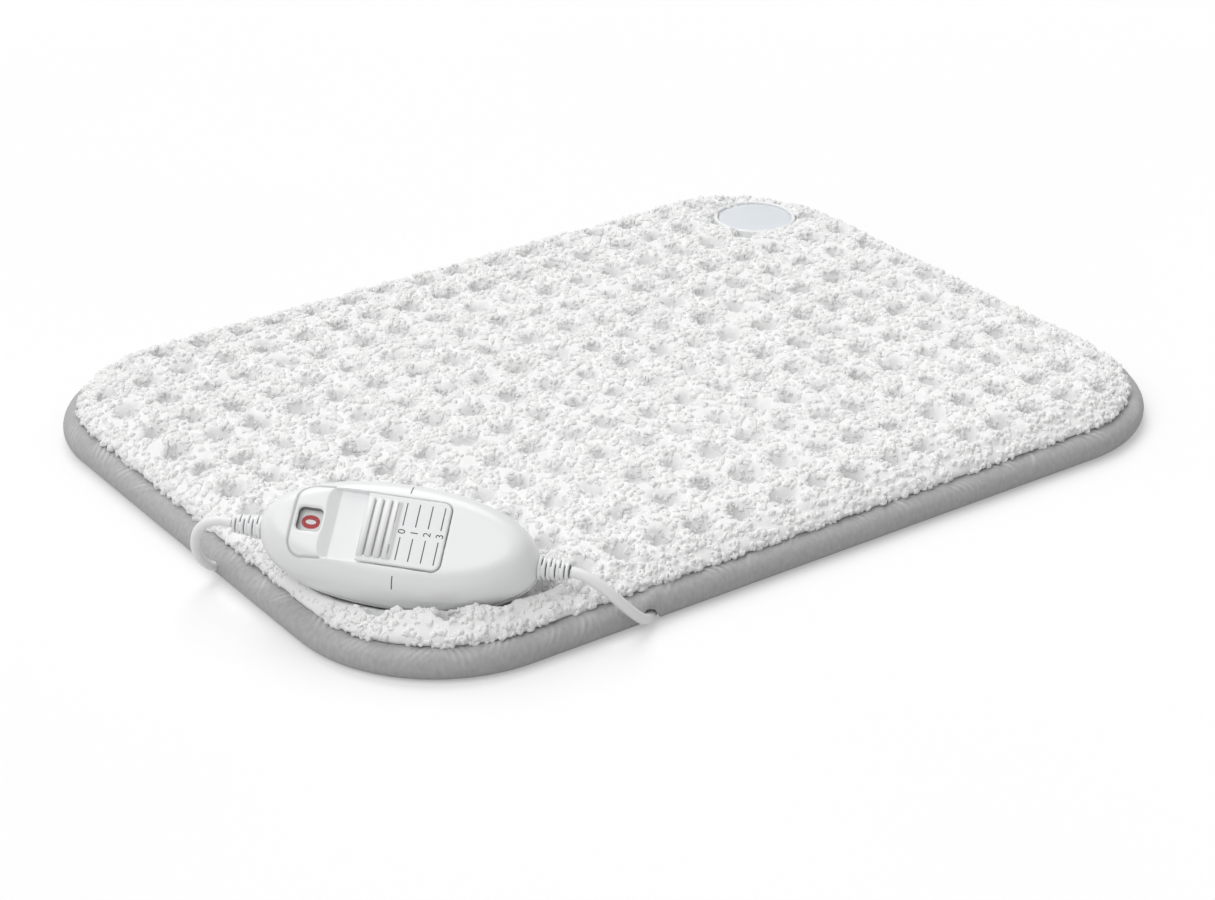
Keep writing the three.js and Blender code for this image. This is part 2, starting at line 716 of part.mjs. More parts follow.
function topShell() {
  const holeDiameter = SCREW_DIAMETER + 2 * GAP;
  let shell = casingBody.subtract(casingHollow).intersect(aboveParting);
  for (const [x, y] of bossPlaces) {
    shell = shell.add(solid(post(x, y, BOSS_DIAMETER, BOARD_TOP + GAP, CEILING + 1)));
  }
  for (const end of [-1, 1]) {
    const x = STEM_FROM + end * SPRING_HALF;
    shell = shell.add(solid(box(x - 1, x + 1, SPRING_Y + GAP, SPRING_Y + 3, SPRING_FOOT, CEILING + 1)));
  }
  for (const [x, y] of bossPlaces) {
    const holeTop = CEILING - SCREW_TIP_BELOW_CEILING + GAP;
    shell = shell.subtract(solid(post(x, y, holeDiameter, BOARD_TOP, holeTop)));
  }
  const over = CASING_FACE + 5;
  shell = shell.subtract(
    solid(box(WELL_FROM, SLIDER_TO + GAP, -HALF_TRACK, HALF_TRACK, WELL_FLOOR, over)),
  );
  const slotFrom = STEM_FROM - SLIDER_TRAVEL - GAP;
  const slotTo = STEM_FROM + STEM_LENGTH + GAP;
  const slotHalf = STEM_WIDTH / 2 + GAP;
  shell = shell.subtract(solid(box(slotFrom, slotTo, -slotHalf, slotHalf, CEILING - 1, over)));
  const [halfX, halfY] = [WINDOW_LENGTH / 2, WINDOW_WIDTH / 2];
  shell = shell.subtract(
    solid(box(WINDOW_AT - halfX, WINDOW_AT + halfX, -halfY, halfY, CEILING - 1, over)),
  );
  const pocketX = halfX + PANE_LIP;
  const pocketY = halfY + PANE_LIP;
  const pocketTop = CASING_FACE - PANE_UNDER_FACE + GAP;
  shell = shell.subtract(
    solid(box(WINDOW_AT - pocketX, WINDOW_AT + pocketX, -pocketY, pocketY, CEILING - 1, pocketTop)),
  );
  return glandCutters.reduce((left, cutter) => left.subtract(cutter), shell);
}

function bottomShell() {
  const holeDiameter = SCREW_DIAMETER + 2 * GAP;
  const seat = CASING_FOOT + SCREW_HEAD_DEPTH;
  let shell = casingBody.subtract(casingHollow).intersect(belowParting);
  for (const [x, y] of bossPlaces) {
    const boss = solid(post(x, y, BOSS_DIAMETER, CASING_FOOT + 0.5, BOARD_FOOT - GAP));
    shell = shell.add(boss.intersect(pebble(0.2, CASING_FOOT + 0.2, CASING_FACE)));
  }
  for (const end of [-1, 1]) {
    const cradleTop = GLAND_AXIS_Z - GLAND_STUB_DIAMETER / 2 - GAP;
    const x = end * CLAMP_X;
    const [halfX, halfY] = [CLAMP_LENGTH / 2, CLAMP_WIDTH / 2];
    const cradle = solid(box(x - halfX, x + halfX, -halfY, halfY, CASING_FOOT, cradleTop));
    shell = shell.add(cradle.intersect(pebble(0.2, CASING_FOOT + 0.2, CASING_FACE)));
  }
  for (const [x, y] of bossPlaces) {
    shell = shell.subtract(solid(post(x, y, holeDiameter, CASING_FOOT - 1, BOARD_FOOT + 1)));
    shell = shell.subtract(solid(post(x, y, SCREW_HEAD_DIAMETER + 2 * GAP, CASING_FOOT - 1, seat)));
  }
  return glandCutters.reduce((left, cutter) => left.subtract(cutter), shell);
}

// Switch pieces

const CARRIAGE_TOP = CEILING - GAP;
const CARRIAGE_FOOT = CARRIAGE_TOP - CARRIAGE_THICKNESS;
const CARRIAGE_MIDDLE = STEM_FROM + STEM_LENGTH / 2;
const SPRING_HALF = 14;
const SPRING_Y = CARRIAGE_WIDTH / 2 + 3.5;
const SPRING_LEAF = 0.5;
const SPRING_FOOT = CARRIAGE_FOOT;
const WIPER_LENGTH = 7;
const WIPER_WIDTH = 6;
const WIPER_LEAF = 0.5;
const WIPER_Y = -5;
const STRIP_THICKNESS = 0.4;
const STRIP_TOP = BOARD_TOP + GAP + STRIP_THICKNESS;

function sliderCap() {
  const half = HALF_TRACK - 0.4;
  const face = CASING_FACE + SLIDER_PROUD;
  let cap = solid(box(SLIDER_FROM, SLIDER_TO, -half, half, WELL_FLOOR + GAP, face));
  for (let k = 0; k < RIB_COUNT; k++) {
    const x = SLIDER_FROM + GAP + k * RIB_PITCH;
    cap = cap.add(solid(box(x, x + RIB_WIDTH, 2 - half, half - 2, face - 0.5, face + RIB_HEIGHT)));
  }
  const stemHalf = STEM_WIDTH / 2;
  const stemTo = STEM_FROM + STEM_LENGTH;
  const hookTop = CARRIAGE_FOOT - GAP;
  const hookFoot = hookTop - HOOK_HEIGHT;
  const hookHalf = stemHalf + HOOK_REACH;
  cap = cap.add(solid(box(STEM_FROM, stemTo, -stemHalf, stemHalf, hookFoot, face - 1)));
  return cap.add(solid(box(STEM_FROM, stemTo, -hookHalf, hookHalf, hookFoot, hookTop)));
}

function sliderCarriage() {
  const halfX = CARRIAGE_LENGTH / 2;
  const halfY = CARRIAGE_WIDTH / 2;
  const [from, to] = [CARRIAGE_MIDDLE - halfX, CARRIAGE_MIDDLE + halfX];
  const plate = solid(box(from, to, -halfY, halfY, CARRIAGE_FOOT, CARRIAGE_TOP));
  const slotHalf = STEM_WIDTH / 2 + GAP;
  const [slotFrom, slotTo] = [STEM_FROM - GAP, STEM_FROM + STEM_LENGTH + GAP];
  const slot = box(slotFrom, slotTo, -slotHalf, slotHalf, CARRIAGE_FOOT - 1, CARRIAGE_TOP + 1);
  return plate.subtract(solid(slot));
}

// Bent leaf that runs on the contact strip below the carriage.
function wiperContact() {
  const from = STEM_FROM - GAP - WIPER_LENGTH;
  const top = CARRIAGE_FOOT - GAP;
  const foot = STRIP_TOP + GAP;
  const dip = WIPER_LENGTH * 0.38;
  const outline = [
    [from, top],
    [from, top - WIPER_LEAF],
    [from + dip, foot],
    [from + WIPER_LENGTH - dip, foot],
    [from + WIPER_LENGTH, top - WIPER_LEAF],
    [from + WIPER_LENGTH, top],
    [from + WIPER_LENGTH - dip - 0.2, foot + WIPER_LEAF],
    [from + dip + 0.2, foot + WIPER_LEAF],
  ];
  const geometry = extruded(shapeOf(outline), -WIPER_WIDTH / 2, WIPER_WIDTH / 2);
  return geometry.rotateX(Math.PI / 2).translate(0, WIPER_Y, 0);
}

function contactStrip() {
  const from = STEM_FROM - GAP - WIPER_LENGTH - SLIDER_TRAVEL;
  const half = WIPER_WIDTH / 2;
  return box(from, STEM_FROM, WIPER_Y - half, WIPER_Y + half, BOARD_TOP + GAP, STRIP_TOP);
}

// Leaf with one bent nose that presses on the carriage's edge.
function detentSpring() {
  const nose = CARRIAGE_WIDTH / 2 + GAP;
  const from = CARRIAGE_MIDDLE - SPRING_HALF;
  const to = CARRIAGE_MIDDLE + SPRING_HALF;
  const [inner, outer] = [SPRING_Y - SPRING_LEAF, SPRING_Y];
  const outline = [
    [from, inner],
    [CARRIAGE_MIDDLE - 3, inner],
    [CARRIAGE_MIDDLE, nose],
    [CARRIAGE_MIDDLE + 3, inner],
    [to, inner],
    [to, outer],
    [CARRIAGE_MIDDLE + 2.7, outer],
    [CARRIAGE_MIDDLE, nose + SPRING_LEAF],
    [CARRIAGE_MIDDLE - 2.7, outer],
    [from, outer],
  ];
  return extruded(shapeOf(outline), SPRING_FOOT + GAP, CARRIAGE_TOP - GAP);
}

function windowPane() {
  const halfX = WINDOW_LENGTH / 2 + PANE_LIP - GAP;
  const halfY = WINDOW_WIDTH / 2 + PANE_LIP - GAP;
  const top = CASING_FACE - PANE_UNDER_FACE;
  return box(WINDOW_AT - halfX, WINDOW_AT + halfX, -halfY, halfY, top - PANE_THICKNESS, top);
}

function displayPlate() {
  const [halfX, halfY] = [PLATE_LENGTH / 2, PLATE_WIDTH / 2];
  const top = CASING_FACE - PANE_UNDER_FACE - PANE_THICKNESS - GAP;
  return box(WINDOW_AT - halfX, WINDOW_AT + halfX, -halfY, halfY, top - PLATE_THICKNESS, top);
}

function circuitBoard() {
  const [halfX, halfY] = [BOARD_LENGTH / 2, BOARD_WIDTH / 2];
  let board = solid(box(-halfX, halfX, -halfY, halfY, BOARD_FOOT, BOARD_TOP));
  for (const [x, y] of bossPlaces) {
    board = board.subtract(solid(post(x, y, SCREW_DIAMETER + 2 * GAP, BOARD_FOOT - 1, BOARD_TOP + 1)));
  }
  return board;
}

function casingScrew([x, y]) {
  const seat = CASING_FOOT + SCREW_HEAD_DEPTH;
  const tip = CEILING - SCREW_TIP_BELOW_CEILING;
  const profile = [
    [0, seat - GAP - SCREW_HEAD_HEIGHT],
    [SCREW_HEAD_DIAMETER / 2, seat - GAP - SCREW_HEAD_HEIGHT],
    [SCREW_HEAD_DIAMETER / 2, seat - GAP],
    [SCREW_DIAMETER / 2, seat - GAP],
    [SCREW_DIAMETER / 2, tip - 1],
    [0, tip],
  ];
  const points = profile.map(([r, z]) => new THREE.Vector2(r, z));
  return new THREE.LatheGeometry(points, 12).rotateX(Math.PI / 2).translate(x, y, 0);
}

// Bridge over the held sheath, standing on the cradle.
function cordClamp(end) {
  const foot = GLAND_AXIS_Z - GLAND_STUB_DIAMETER / 2;
  const arch = GLAND_STUB_DIAMETER / 2 + GAP;
  const archTop = GLAND_AXIS_Z + arch;
  const half = CLAMP_WIDTH / 2;
  const outline = [
    [-half, foot],
    [-arch, foot],
    [-arch, archTop],
    [arch, archTop],
    [arch, foot],
    [half, foot],
    [half, archTop + CLAMP_BAR],
    [-half, archTop + CLAMP_BAR],
  ];
  const geometry = extruded(shapeOf(outline), -CLAMP_LENGTH / 2, CLAMP_LENGTH / 2);
  return geometry.rotateX(Math.PI / 2).rotateZ(Math.PI / 2).translate(end * CLAMP_X, 0, 0);
}

// Components on the board: length, width and height, on the top or hanging below.
function onBoard(x, y, length, width, height) {
  const foot = BOARD_TOP + GAP;
  return box(x - length / 2, x + length / 2, y - width / 2, y + width / 2, foot, foot + height);
}

function underBoard(x, y, length, width, height) {
  const top = BOARD_FOOT - GAP;
  return box(x - length / 2, x + length / 2, y - width / 2, y + width / 2, top - height, top);
}

const FUSE_DIAMETER = 5.2;
const FUSE_LENGTH = 20;

function fuse() {
  const geometry = new THREE.CylinderGeometry(FUSE_DIAMETER / 2, FUSE_DIAMETER / 2, FUSE_LENGTH, 12);
  return geometry.rotateZ(Math.PI / 2).translate(10, -11, BOARD_FOOT - GAP - FUSE_DIAMETER / 2);
}

// Pad pieces

function edgeBinding() {
  const [h, d, t, r] = [BINDING_HEIGHT, BINDING_DEPTH, BINDING_CLOTH, BINDING_ROUND];
  const section = [
    [d, 0],
    [r, 0],
    [r * 0.3, r * 0.3],
    [0, r],
    [0, h - r],
    [r * 0.3, h - r * 0.3],
    [r, h],
    [d, h],
    [d, h - t],
    [r, h - t],
    [t, h - r],
    [t, r],
    [r, t],
    [d, t],
  ];
  const rings = section.map(([inset, z]) => padOutline(inset).map(([x, y]) => [x, y, z]));
  const size = rings[0].length;
  const positions = rings.flat(2);
  const triangles = [];
  rings.forEach((_, k) => {
    const next = (k + 1) % rings.length;
    for (let i = 0; i < size; i++) {
      const j = (i + 1) % size;
      const [a, b, c, e] = [k * size + i, k * size + j, next * size + j, next * size + i];
      triangles.push(a, b, c, a, c, e);
    }
  });
  const ring = solid(geometryOf(positions, triangles));
  return ring.subtract(mainsLeadCutter).subtract(padLeadCutter);
}

function backingCloth() {
  const [low, high] = RIM_STACK.backing;
  const field = layerSlab('backing').intersect(solid(padPrism(PILE_INSET, -1, PILE_HEIGHT)));
  const flange = solid(padRing(BINDING_ROUND + GAP, PILE_INSET + FLANGE_LAP, low, high));
  return field.add(flange).subtract(mainsLeadCutter).subtract(padLeadCutter);
}

function anchorBox(grow) {
  const [x, y] = PAD_LEAD_ROUTE.at(-1);
  const from = x + GAP - grow;
  const foot = RIM_STACK.backing[1] + GAP - grow;
  const half = ANCHOR_WIDTH / 2 + grow;
  return box(from, x + GAP + ANCHOR_LENGTH + grow, y - half, y + half, foot, foot + ANCHOR_HEIGHT + 2 * grow);
}

function innerLayer(layer, inset) {
  const trimmed = layerSlab(layer).intersect(solid(padPrism(inset, -1, 2 * PILE_HEIGHT)));
  return trimmed
    .subtract(solid(anchorBox(CUT_CLEARANCE)))
    .subtract(mainsLeadCutter)
    .subtract(padLeadCutter);
}

// Grid lines of the pile between its dimples, with the outermost past the trimmed edge.
function pileLines(edge, pitch) {
  const dimples = Math.round((2 * edge) / pitch);
  return Array.from({ length: dimples + 1 }, (_, k) => {
    const line = ((2 * k) / dimples - 1) * edge;
    return k === 0 || k === dimples ? line + Math.sign(line) * TRIM_OVERHANG : line;
  });
}

// Height of the pile between its dimples, and in the middle of a dimple.
function pileTop(x, y, depth = 0, depthRaised = 0) {
  const raised = tuck(x, y);
  const top = mix(PILE_HEIGHT - depth, PILE_HEIGHT_RAISED - depthRaised, raised);
  return mix(PILE_RIM_TOP, top, inward(x, y, -3, PILE_EDGE_ROLL));
}

function pileDimple(x, y) {
  return pileTop(x, y, DIMPLE_DEPTH, DIMPLE_DEPTH_RAISED);
}

const BADGE_X = PAD_LENGTH / 2 - BADGE_EDGE_X;
const BADGE_Y = PAD_WIDTH / 2 - BADGE_EDGE_Y;

function plushCover() {
  const top = {
    xs: pileLines(EDGE_X, DIMPLE_PITCH_X),
    ys: pileLines(EDGE_Y, DIMPLE_PITCH_Y),
    z: (x, y) => pileTop(x, y),
    dimple: pileDimple,
  };
  const bottom = { xs: X_LINES, ys: Y_LINES, z: layerHeight('pile', 0) };
  const field = solid(slab(top, bottom)).intersect(solid(padPrism(PILE_INSET, -1, 2 * PILE_HEIGHT)));
  const flangeFoot = RIM_STACK.backing[1] + GAP;
  const flange = solid(padRing(BINDING_ROUND + GAP, PILE_INSET + FLANGE_LAP, flangeFoot, PILE_RIM_TOP));
  const seat = solid(post(BADGE_X, BADGE_Y, BADGE_DIAMETER + 2 * GAP, BADGE_SEAT, 2 * PILE_HEIGHT, 24));
  const casing = pebble(-CUT_CLEARANCE, CASING_FOOT - CUT_CLEARANCE, CASING_FACE);
  const place = controller.matrix.elements;
  return field
    .add(flange)
    .subtract(seat)
    .subtract(casing.transform(Array.from(place)))
    .subtract(mainsLeadCutter)
    .subtract(padLeadCutter);
}

function badgeRim() {
  const half = BADGE_DIAMETER / 2;
  const foot = BADGE_SEAT + GAP;
  const top = foot + BADGE_RIM_HEIGHT;
  const profile = [
    [half - BADGE_RIM_WIDTH, foot],
    [half, foot],
    [half, top - 1],
    [half - 0.8, top],
    [half - BADGE_RIM_WIDTH, top],
    [half - BADGE_RIM_WIDTH, foot],
  ];
  const points = profile.map(([r, z]) => new THREE.Vector2(r, z));
  return new THREE.LatheGeometry(points, 32).rotateX(Math.PI / 2).translate(BADGE_X, BADGE_Y, 0);
}

function badgeInlay() {
  const diameter = BADGE_DIAMETER - 2 * (BADGE_RIM_WIDTH + GAP);
  const foot = BADGE_SEAT + GAP;
  return post(BADGE_X, BADGE_Y, diameter, foot, foot + BADGE_INLAY_HEIGHT, 32);
}

// Heating wire: out from the anchor, to and fro across the carrier and back to the anchor.
const WIRE_ROWS = [2, 4, 5, 6, 7, 8, 9, 11];
const WIRE_LEFT = TUCK_X[0] - TUCK_RAMP_X;
const WIRE_RIGHT = EDGE_X - WIRE_RUN_MARGIN;
const WIRE_SIDE = EDGE_X - WIRE_SIDE_MARGIN;

function heatingWire() {
  const [anchorX, anchorY] = PAD_LEAD_ROUTE.at(-1);
  const port = anchorX + 2 * GAP + ANCHOR_LENGTH;
  const rows = WIRE_ROWS.map((k) => Y_LINES[k]);
  const bends = [WIRE_LEFT, TUCK_X[0], TUCK_X[1], TUCK_X[1] + TUCK_RAMP_X, WIRE_RIGHT];
  const plan = [
    [port, anchorY - WIRE_PORT_SPACING / 2],
    [port + WIRE_CORNER / 4, anchorY - WIRE_PORT_SPACING / 2 - 1],
    [-WIRE_SIDE, anchorY - WIRE_CORNER],
    [-WIRE_SIDE, rows[0] + WIRE_CORNER],
    [-WIRE_SIDE + WIRE_CORNER, rows[0] + WIRE_CORNER / 7],
  ];
  rows.forEach((y, k) => {
    const run = k % 2 === 0 ? bends : [...bends].reverse();
    run.forEach((x) => plan.push([x, y]));
    if (k + 1 < rows.length) {
      const half = (rows[k + 1] - y) / 2;
      const out = (k % 2 === 0 ? 1 : -1) * Math.min(half, WIRE_TURN_LIMIT);
      for (const turn of [45, 90, 135]) {
        const swing = degrees(turn);
        plan.push([run.at(-1) + out * Math.sin(swing), y + half * (1 - Math.cos(swing))]);
      }
    }
  });
  plan.push([-WIRE_SIDE + WIRE_CORNER, rows.at(-1) - WIRE_CORNER / 7]);
  plan.push([-WIRE_SIDE, rows.at(-1) - WIRE_CORNER], [-WIRE_SIDE, anchorY + WIRE_CORNER]);
  plan.push([port + WIRE_CORNER / 4, anchorY + WIRE_PORT_SPACING / 2 + 1]);
  plan.push([port, anchorY + WIRE_PORT_SPACING / 2]);
  const points = plan.map(([x, y]) => new THREE.Vector3(x, y, gridHeight('wire', 0, x, y)));
  return tube(points, WIRE_DIAMETER, 5);
}

const CUTOUT_X = WIRE_RIGHT - CUTOUT_FROM_TURN;
const CUTOUT_ROWS = [[5, 6], [8, 9]];

function thermalCutout([rowA, rowB]) {
  const y = (Y_LINES[rowA] + Y_LINES[rowB]) / 2;
  const foot = FLAT_STACK.carrier[1] + GAP;
  const [halfX, halfY] = [CUTOUT_LENGTH / 2, CUTOUT_WIDTH / 2];
  return box(CUTOUT_X - halfX, CUTOUT_X + halfX, y - halfY, y + halfY, foot, foot + CUTOUT_THICKNESS);
}

// Stowed lead, its tie and its plug

function coilTie() {
  const lead = MAINS_LEAD_DIAMETER / 2 + GAP;
  const tightest = COIL_INNER_RADIUS - COIL_PITCH / 4;
  const inner = Math.sqrt(tightest ** 2 - (TIE_WIDTH / 2) ** 2) - lead;
  const outer = COIL_OUTER_RADIUS + 0.1 + lead;
  const [low, high] = [COIL_LOW_Z - lead, COIL_HIGH_Z + lead];
  const band = (grow) => [
    [inner - grow, low - grow],
    [outer + grow, low - grow],
    [outer + grow, high + grow],
    [inner - grow, high + grow],
  ];
  const shape = shapeOf(band(TIE_THICKNESS));
  shape.holes.push(new THREE.Path(shapeOf(band(0)).getPoints()));
  const geometry = extruded(shape, -TIE_WIDTH / 2, TIE_WIDTH / 2);
  return geometry.rotateX(Math.PI / 2).rotateZ(degrees(TIE_ANGLE)).translate(COIL_AT.x, COIL_AT.y, 0);
}

const coilEnd = coilRoute.at(-1);
const TAIL_FROM_Y = coilEnd.y + GAP;
const BOOT_FROM_Y = coilEnd.y + TAIL_LENGTH;
const PLUG_FROM_Y = BOOT_FROM_Y + BOOT_LENGTH + GAP;
const TAIL_ROUTE = [
  [coilEnd.x, TAIL_FROM_Y, COIL_HIGH_Z],
  [coilEnd.x + 0.1, TAIL_FROM_Y + 6, COIL_HIGH_Z],
  [PLUG_X - 0.4, TAIL_FROM_Y + 15, mix(COIL_HIGH_Z, PLUG_AXIS_Z, 0.5)],
  [PLUG_X, TAIL_FROM_Y + 23, PLUG_AXIS_Z],
  [PLUG_X, BOOT_FROM_Y - GAP, PLUG_AXIS_Z],
];

function plugBoot() {
  const profile = [
    [0, 0],
    [0, BOOT_TIP_DIAMETER / 2],
    [BOOT_LENGTH, BOOT_ROOT_DIAMETER / 2],
    [BOOT_LENGTH, 0],
  ];
  return turnedX(profile, 14).rotateZ(Math.PI / 2).translate(PLUG_X, BOOT_FROM_Y, PLUG_AXIS_Z);
}

function plugBody() {
  const [wide, neck] = [PLUG_WIDTH / 2, PLUG_NECK_WIDTH / 2];
  const end = PLUG_FROM_Y + PLUG_LENGTH;
  const outline = [
    [PLUG_X - neck, PLUG_FROM_Y],
    [PLUG_X + neck, PLUG_FROM_Y],
    [PLUG_X + wide, end - wide],
    [PLUG_X + wide, end - 3],
    [PLUG_X + wide - 4, end],
    [PLUG_X - wide + 4, end],
    [PLUG_X - wide, end - 3],
    [PLUG_X - wide, end - wide],
  ];
  const half = PLUG_THICKNESS / 2;
  return extruded(shapeOf(outline), PLUG_AXIS_Z - half, PLUG_AXIS_Z + half);
}

function plugPin(side) {
  const from = PLUG_FROM_Y + PLUG_LENGTH + GAP;
  const x = PLUG_X + (side * PLUG_PIN_SPACING) / 2;
  const radius = PLUG_PIN_DIAMETER / 2;
  const geometry = new THREE.CylinderGeometry(radius, radius, PLUG_PIN_LENGTH, 12);
  return geometry.translate(x, from + PLUG_PIN_LENGTH / 2, PLUG_AXIS_Z);
}

// Materials by finish
const finish = (color, roughness, metalness = 0) =>
  new THREE.MeshStandardMaterial({ color, roughness, metalness, flatShading: true });
const FLEECE = finish(0xf6f5f2, 0.95);
const FELT = finish(0xe9e7e0, 0.95);
const CARRIER_CLOTH = finish(0xdcd6c4, 0.9);
const BINDING_GREY = finish(0xa6a6a6, 0.85);
const WHITE_GLOSS = finish(0xf4f5f6, 0.25);
const LEAD_WHITE = finish(0xf0f0ee, 0.4);
const BADGE_BLUE = finish(0xd7dce4, 0.45);
const CLEAR = finish(0xeef2f4, 0.05);
const DISPLAY_WHITE = finish(0xf3f1ee, 0.5);
const BOARD_GREEN = finish(0x2f6b3f, 0.6);
const BLACK_PLASTIC = finish(0x222222, 0.5);
const STEEL = finish(0xb8bcc0, 0.3, 1);
const BRASS = finish(0xc9a24a, 0.3, 1);

function node(parent, name, shape, material) {
  const geometry = shape instanceof THREE.BufferGeometry ? closed(shape) : fromSolid(shape);
  const mesh = new THREE.Mesh(geometry, material);
  mesh.name = name;
  parent.add(mesh);
  return mesh;
}

const object = new THREE.Group();
object.name = 'heating_pad';

const pad = new THREE.Group();
pad.name = 'pad';
object.add(pad);
node(pad, 'plush_cover', plushCover(), FLEECE);
node(pad, 'upper_felt', innerLayer('upper', FELT_INSET), FELT);
node(pad, 'heating_wire', heatingWire(), BRASS);
node(pad, 'heater_carrier', innerLayer('carrier', CARRIER_INSET), CARRIER_CLOTH);
node(pad, 'lower_felt', innerLayer('lower', FELT_INSET), FELT);
node(pad, 'backing_cloth', backingCloth(), FELT);
node(pad, 'edge_binding', edgeBinding(), BINDING_GREY);
node(pad, 'lead_anchor', anchorBox(0), BLACK_PLASTIC);
CUTOUT_ROWS.forEach((rows, k) => node(pad, `thermal_cutout_${k + 1}`, thermalCutout(rows), BLACK_PLASTIC));
node(pad, 'badge_rim', badgeRim(), WHITE_GLOSS);
node(pad, 'badge_inlay', badgeInlay(), BADGE_BLUE);

object.add(controller);
node(controller, 'top_shell', topShell(), WHITE_GLOSS);
node(controller, 'bottom_shell', bottomShell(), WHITE_GLOSS);
node(controller, 'window_pane', windowPane(), CLEAR);
node(controller, 'display_plate', displayPlate(), DISPLAY_WHITE);
node(controller, 'slider_cap', sliderCap(), WHITE_GLOSS);
node(controller, 'slider_carriage', sliderCarriage(), BLACK_PLASTIC);
node(controller, 'wiper_contact', wiperContact(), BRASS);
node(controller, 'contact_strip', contactStrip(), BRASS);
node(controller, 'detent_spring', detentSpring(), STEEL);
node(controller, 'circuit_board', circuitBoard(), BOARD_GREEN);
node(controller, 'triac', onBoard(BOARD_LENGTH / 2 - TRIAC_FROM_END, -2, 9, 14, 3), BLACK_PLASTIC);
node(controller, 'timer_chip', onBoard(CHIP_FROM_END - BOARD_LENGTH / 2, 0, 8, 6.4, 3.3), BLACK_PLASTIC);
[-1, 1].forEach((end, k) => {
  const x = end * (BOARD_LENGTH / 2 - TERMINAL_FROM_END);
  node(controller, `terminal_block_${k + 1}`, onBoard(x, 0, 4.5, 12, 4), DISPLAY_WHITE);
});
node(controller, 'capacitor', underBoard(-8, 2, 18, 12, 9), BADGE_BLUE);
node(controller, 'fuse', fuse(), STEEL);
[-1, 1].forEach((end, k) => node(controller, `cord_clamp_${k + 1}`, cordClamp(end), DISPLAY_WHITE));
bossPlaces.forEach((place, k) => node(controller, `casing_screw_${k + 1}`, casingScrew(place), STEEL));
node(controller, 'pad_lead_gland', gland(-1), WHITE_GLOSS);
node(controller, 'mains_lead_gland', gland(1), WHITE_GLOSS);

const leads = new THREE.Group();
leads.name = 'leads';
object.add(leads);
node(leads, 'pad_lead', tube(padLeadRoute, PAD_LEAD_DIAMETER, LEAD_SIDES), LEAD_WHITE);
node(leads, 'mains_lead', tube(mainsLeadRoute, MAINS_LEAD_DIAMETER, LEAD_SIDES), LEAD_WHITE);
node(leads, 'mains_lead_coil', tube(coilRoute, MAINS_LEAD_DIAMETER, COIL_SIDES), LEAD_WHITE);
const tailRoute = smoothRoute(TAIL_ROUTE, MAINS_LEAD_STEP);
node(leads, 'mains_lead_tail', tube(tailRoute, MAINS_LEAD_DIAMETER, LEAD_SIDES), LEAD_WHITE);
node(leads, 'coil_tie', coilTie(), BLACK_PLASTIC);
node(leads, 'plug_boot', plugBoot(), LEAD_WHITE);
node(leads, 'plug_body', plugBody(), LEAD_WHITE);
[-1, 1].forEach((side, k) => node(leads, `plug_pin_${k + 1}`, plugPin(side), STEEL));

export default object;
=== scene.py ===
"""Heating pad with its slide-switch controller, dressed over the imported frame."""

import logging
import math
from dataclasses import dataclass, field
from enum import Enum

import bpy
import numpy as np
from mathutils import Matrix, Vector
from mathutils.bvhtree import BVHTree


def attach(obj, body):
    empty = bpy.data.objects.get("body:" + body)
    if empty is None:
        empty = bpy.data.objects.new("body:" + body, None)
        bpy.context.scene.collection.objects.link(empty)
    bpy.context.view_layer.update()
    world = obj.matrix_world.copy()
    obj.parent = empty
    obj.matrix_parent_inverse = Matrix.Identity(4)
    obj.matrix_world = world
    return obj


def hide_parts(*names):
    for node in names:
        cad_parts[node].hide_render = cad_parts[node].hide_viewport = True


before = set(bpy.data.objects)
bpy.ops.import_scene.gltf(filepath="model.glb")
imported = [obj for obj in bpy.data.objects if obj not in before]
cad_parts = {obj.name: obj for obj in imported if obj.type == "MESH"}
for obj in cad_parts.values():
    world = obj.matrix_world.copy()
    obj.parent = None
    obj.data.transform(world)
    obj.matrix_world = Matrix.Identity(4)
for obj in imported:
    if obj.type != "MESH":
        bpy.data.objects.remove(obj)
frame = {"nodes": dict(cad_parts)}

LOG = logging.getLogger("heating_pad")
MM = 0.001
FAR = 999.0
NOISE_CELLS = 128

Array = np.ndarray
Colour = tuple[float, float, float]
Point = tuple[float, float, float]
Material = bpy.types.Material
Node = bpy.types.Node
Piece = bpy.types.Object
Socket = bpy.types.NodeSocket


class Body(Enum):
    """The two bodies that the pieces ride on."""

    PAD = "base"
    SLIDER = "slider"


class Layer(Enum):
    """Layers of the pad, each with its foot and top at the rim, on the flat and over the stowed lead."""

    BACKING = ((1.1, 1.9), (0.0, 0.8), (14.4, 15.2))
    LOWER_FELT = ((2.2, 3.8), (1.1, 5.1), (15.5, 16.3))
    CARRIER = ((4.1, 4.6), (5.4, 5.9), (16.6, 17.1))
    UPPER_FELT = ((6.6, 8.2), (7.9, 10.9), (19.1, 19.9))
    PILE = ((8.5, 10.9), (11.2, 22.5), (20.2, 25.0))


def smooth(low: float, high: float, value: Array) -> Array:
    """Ease a value from 0 at low to 1 at high."""
    t = np.clip((value - low) / (high - low), 0.0, 1.0)
    return t * t * (3.0 - 2.0 * t)


def mixed(a: Array, b: Array, share: Array) -> Array:
    """Blend from a to b."""
    return a + (b - a) * share


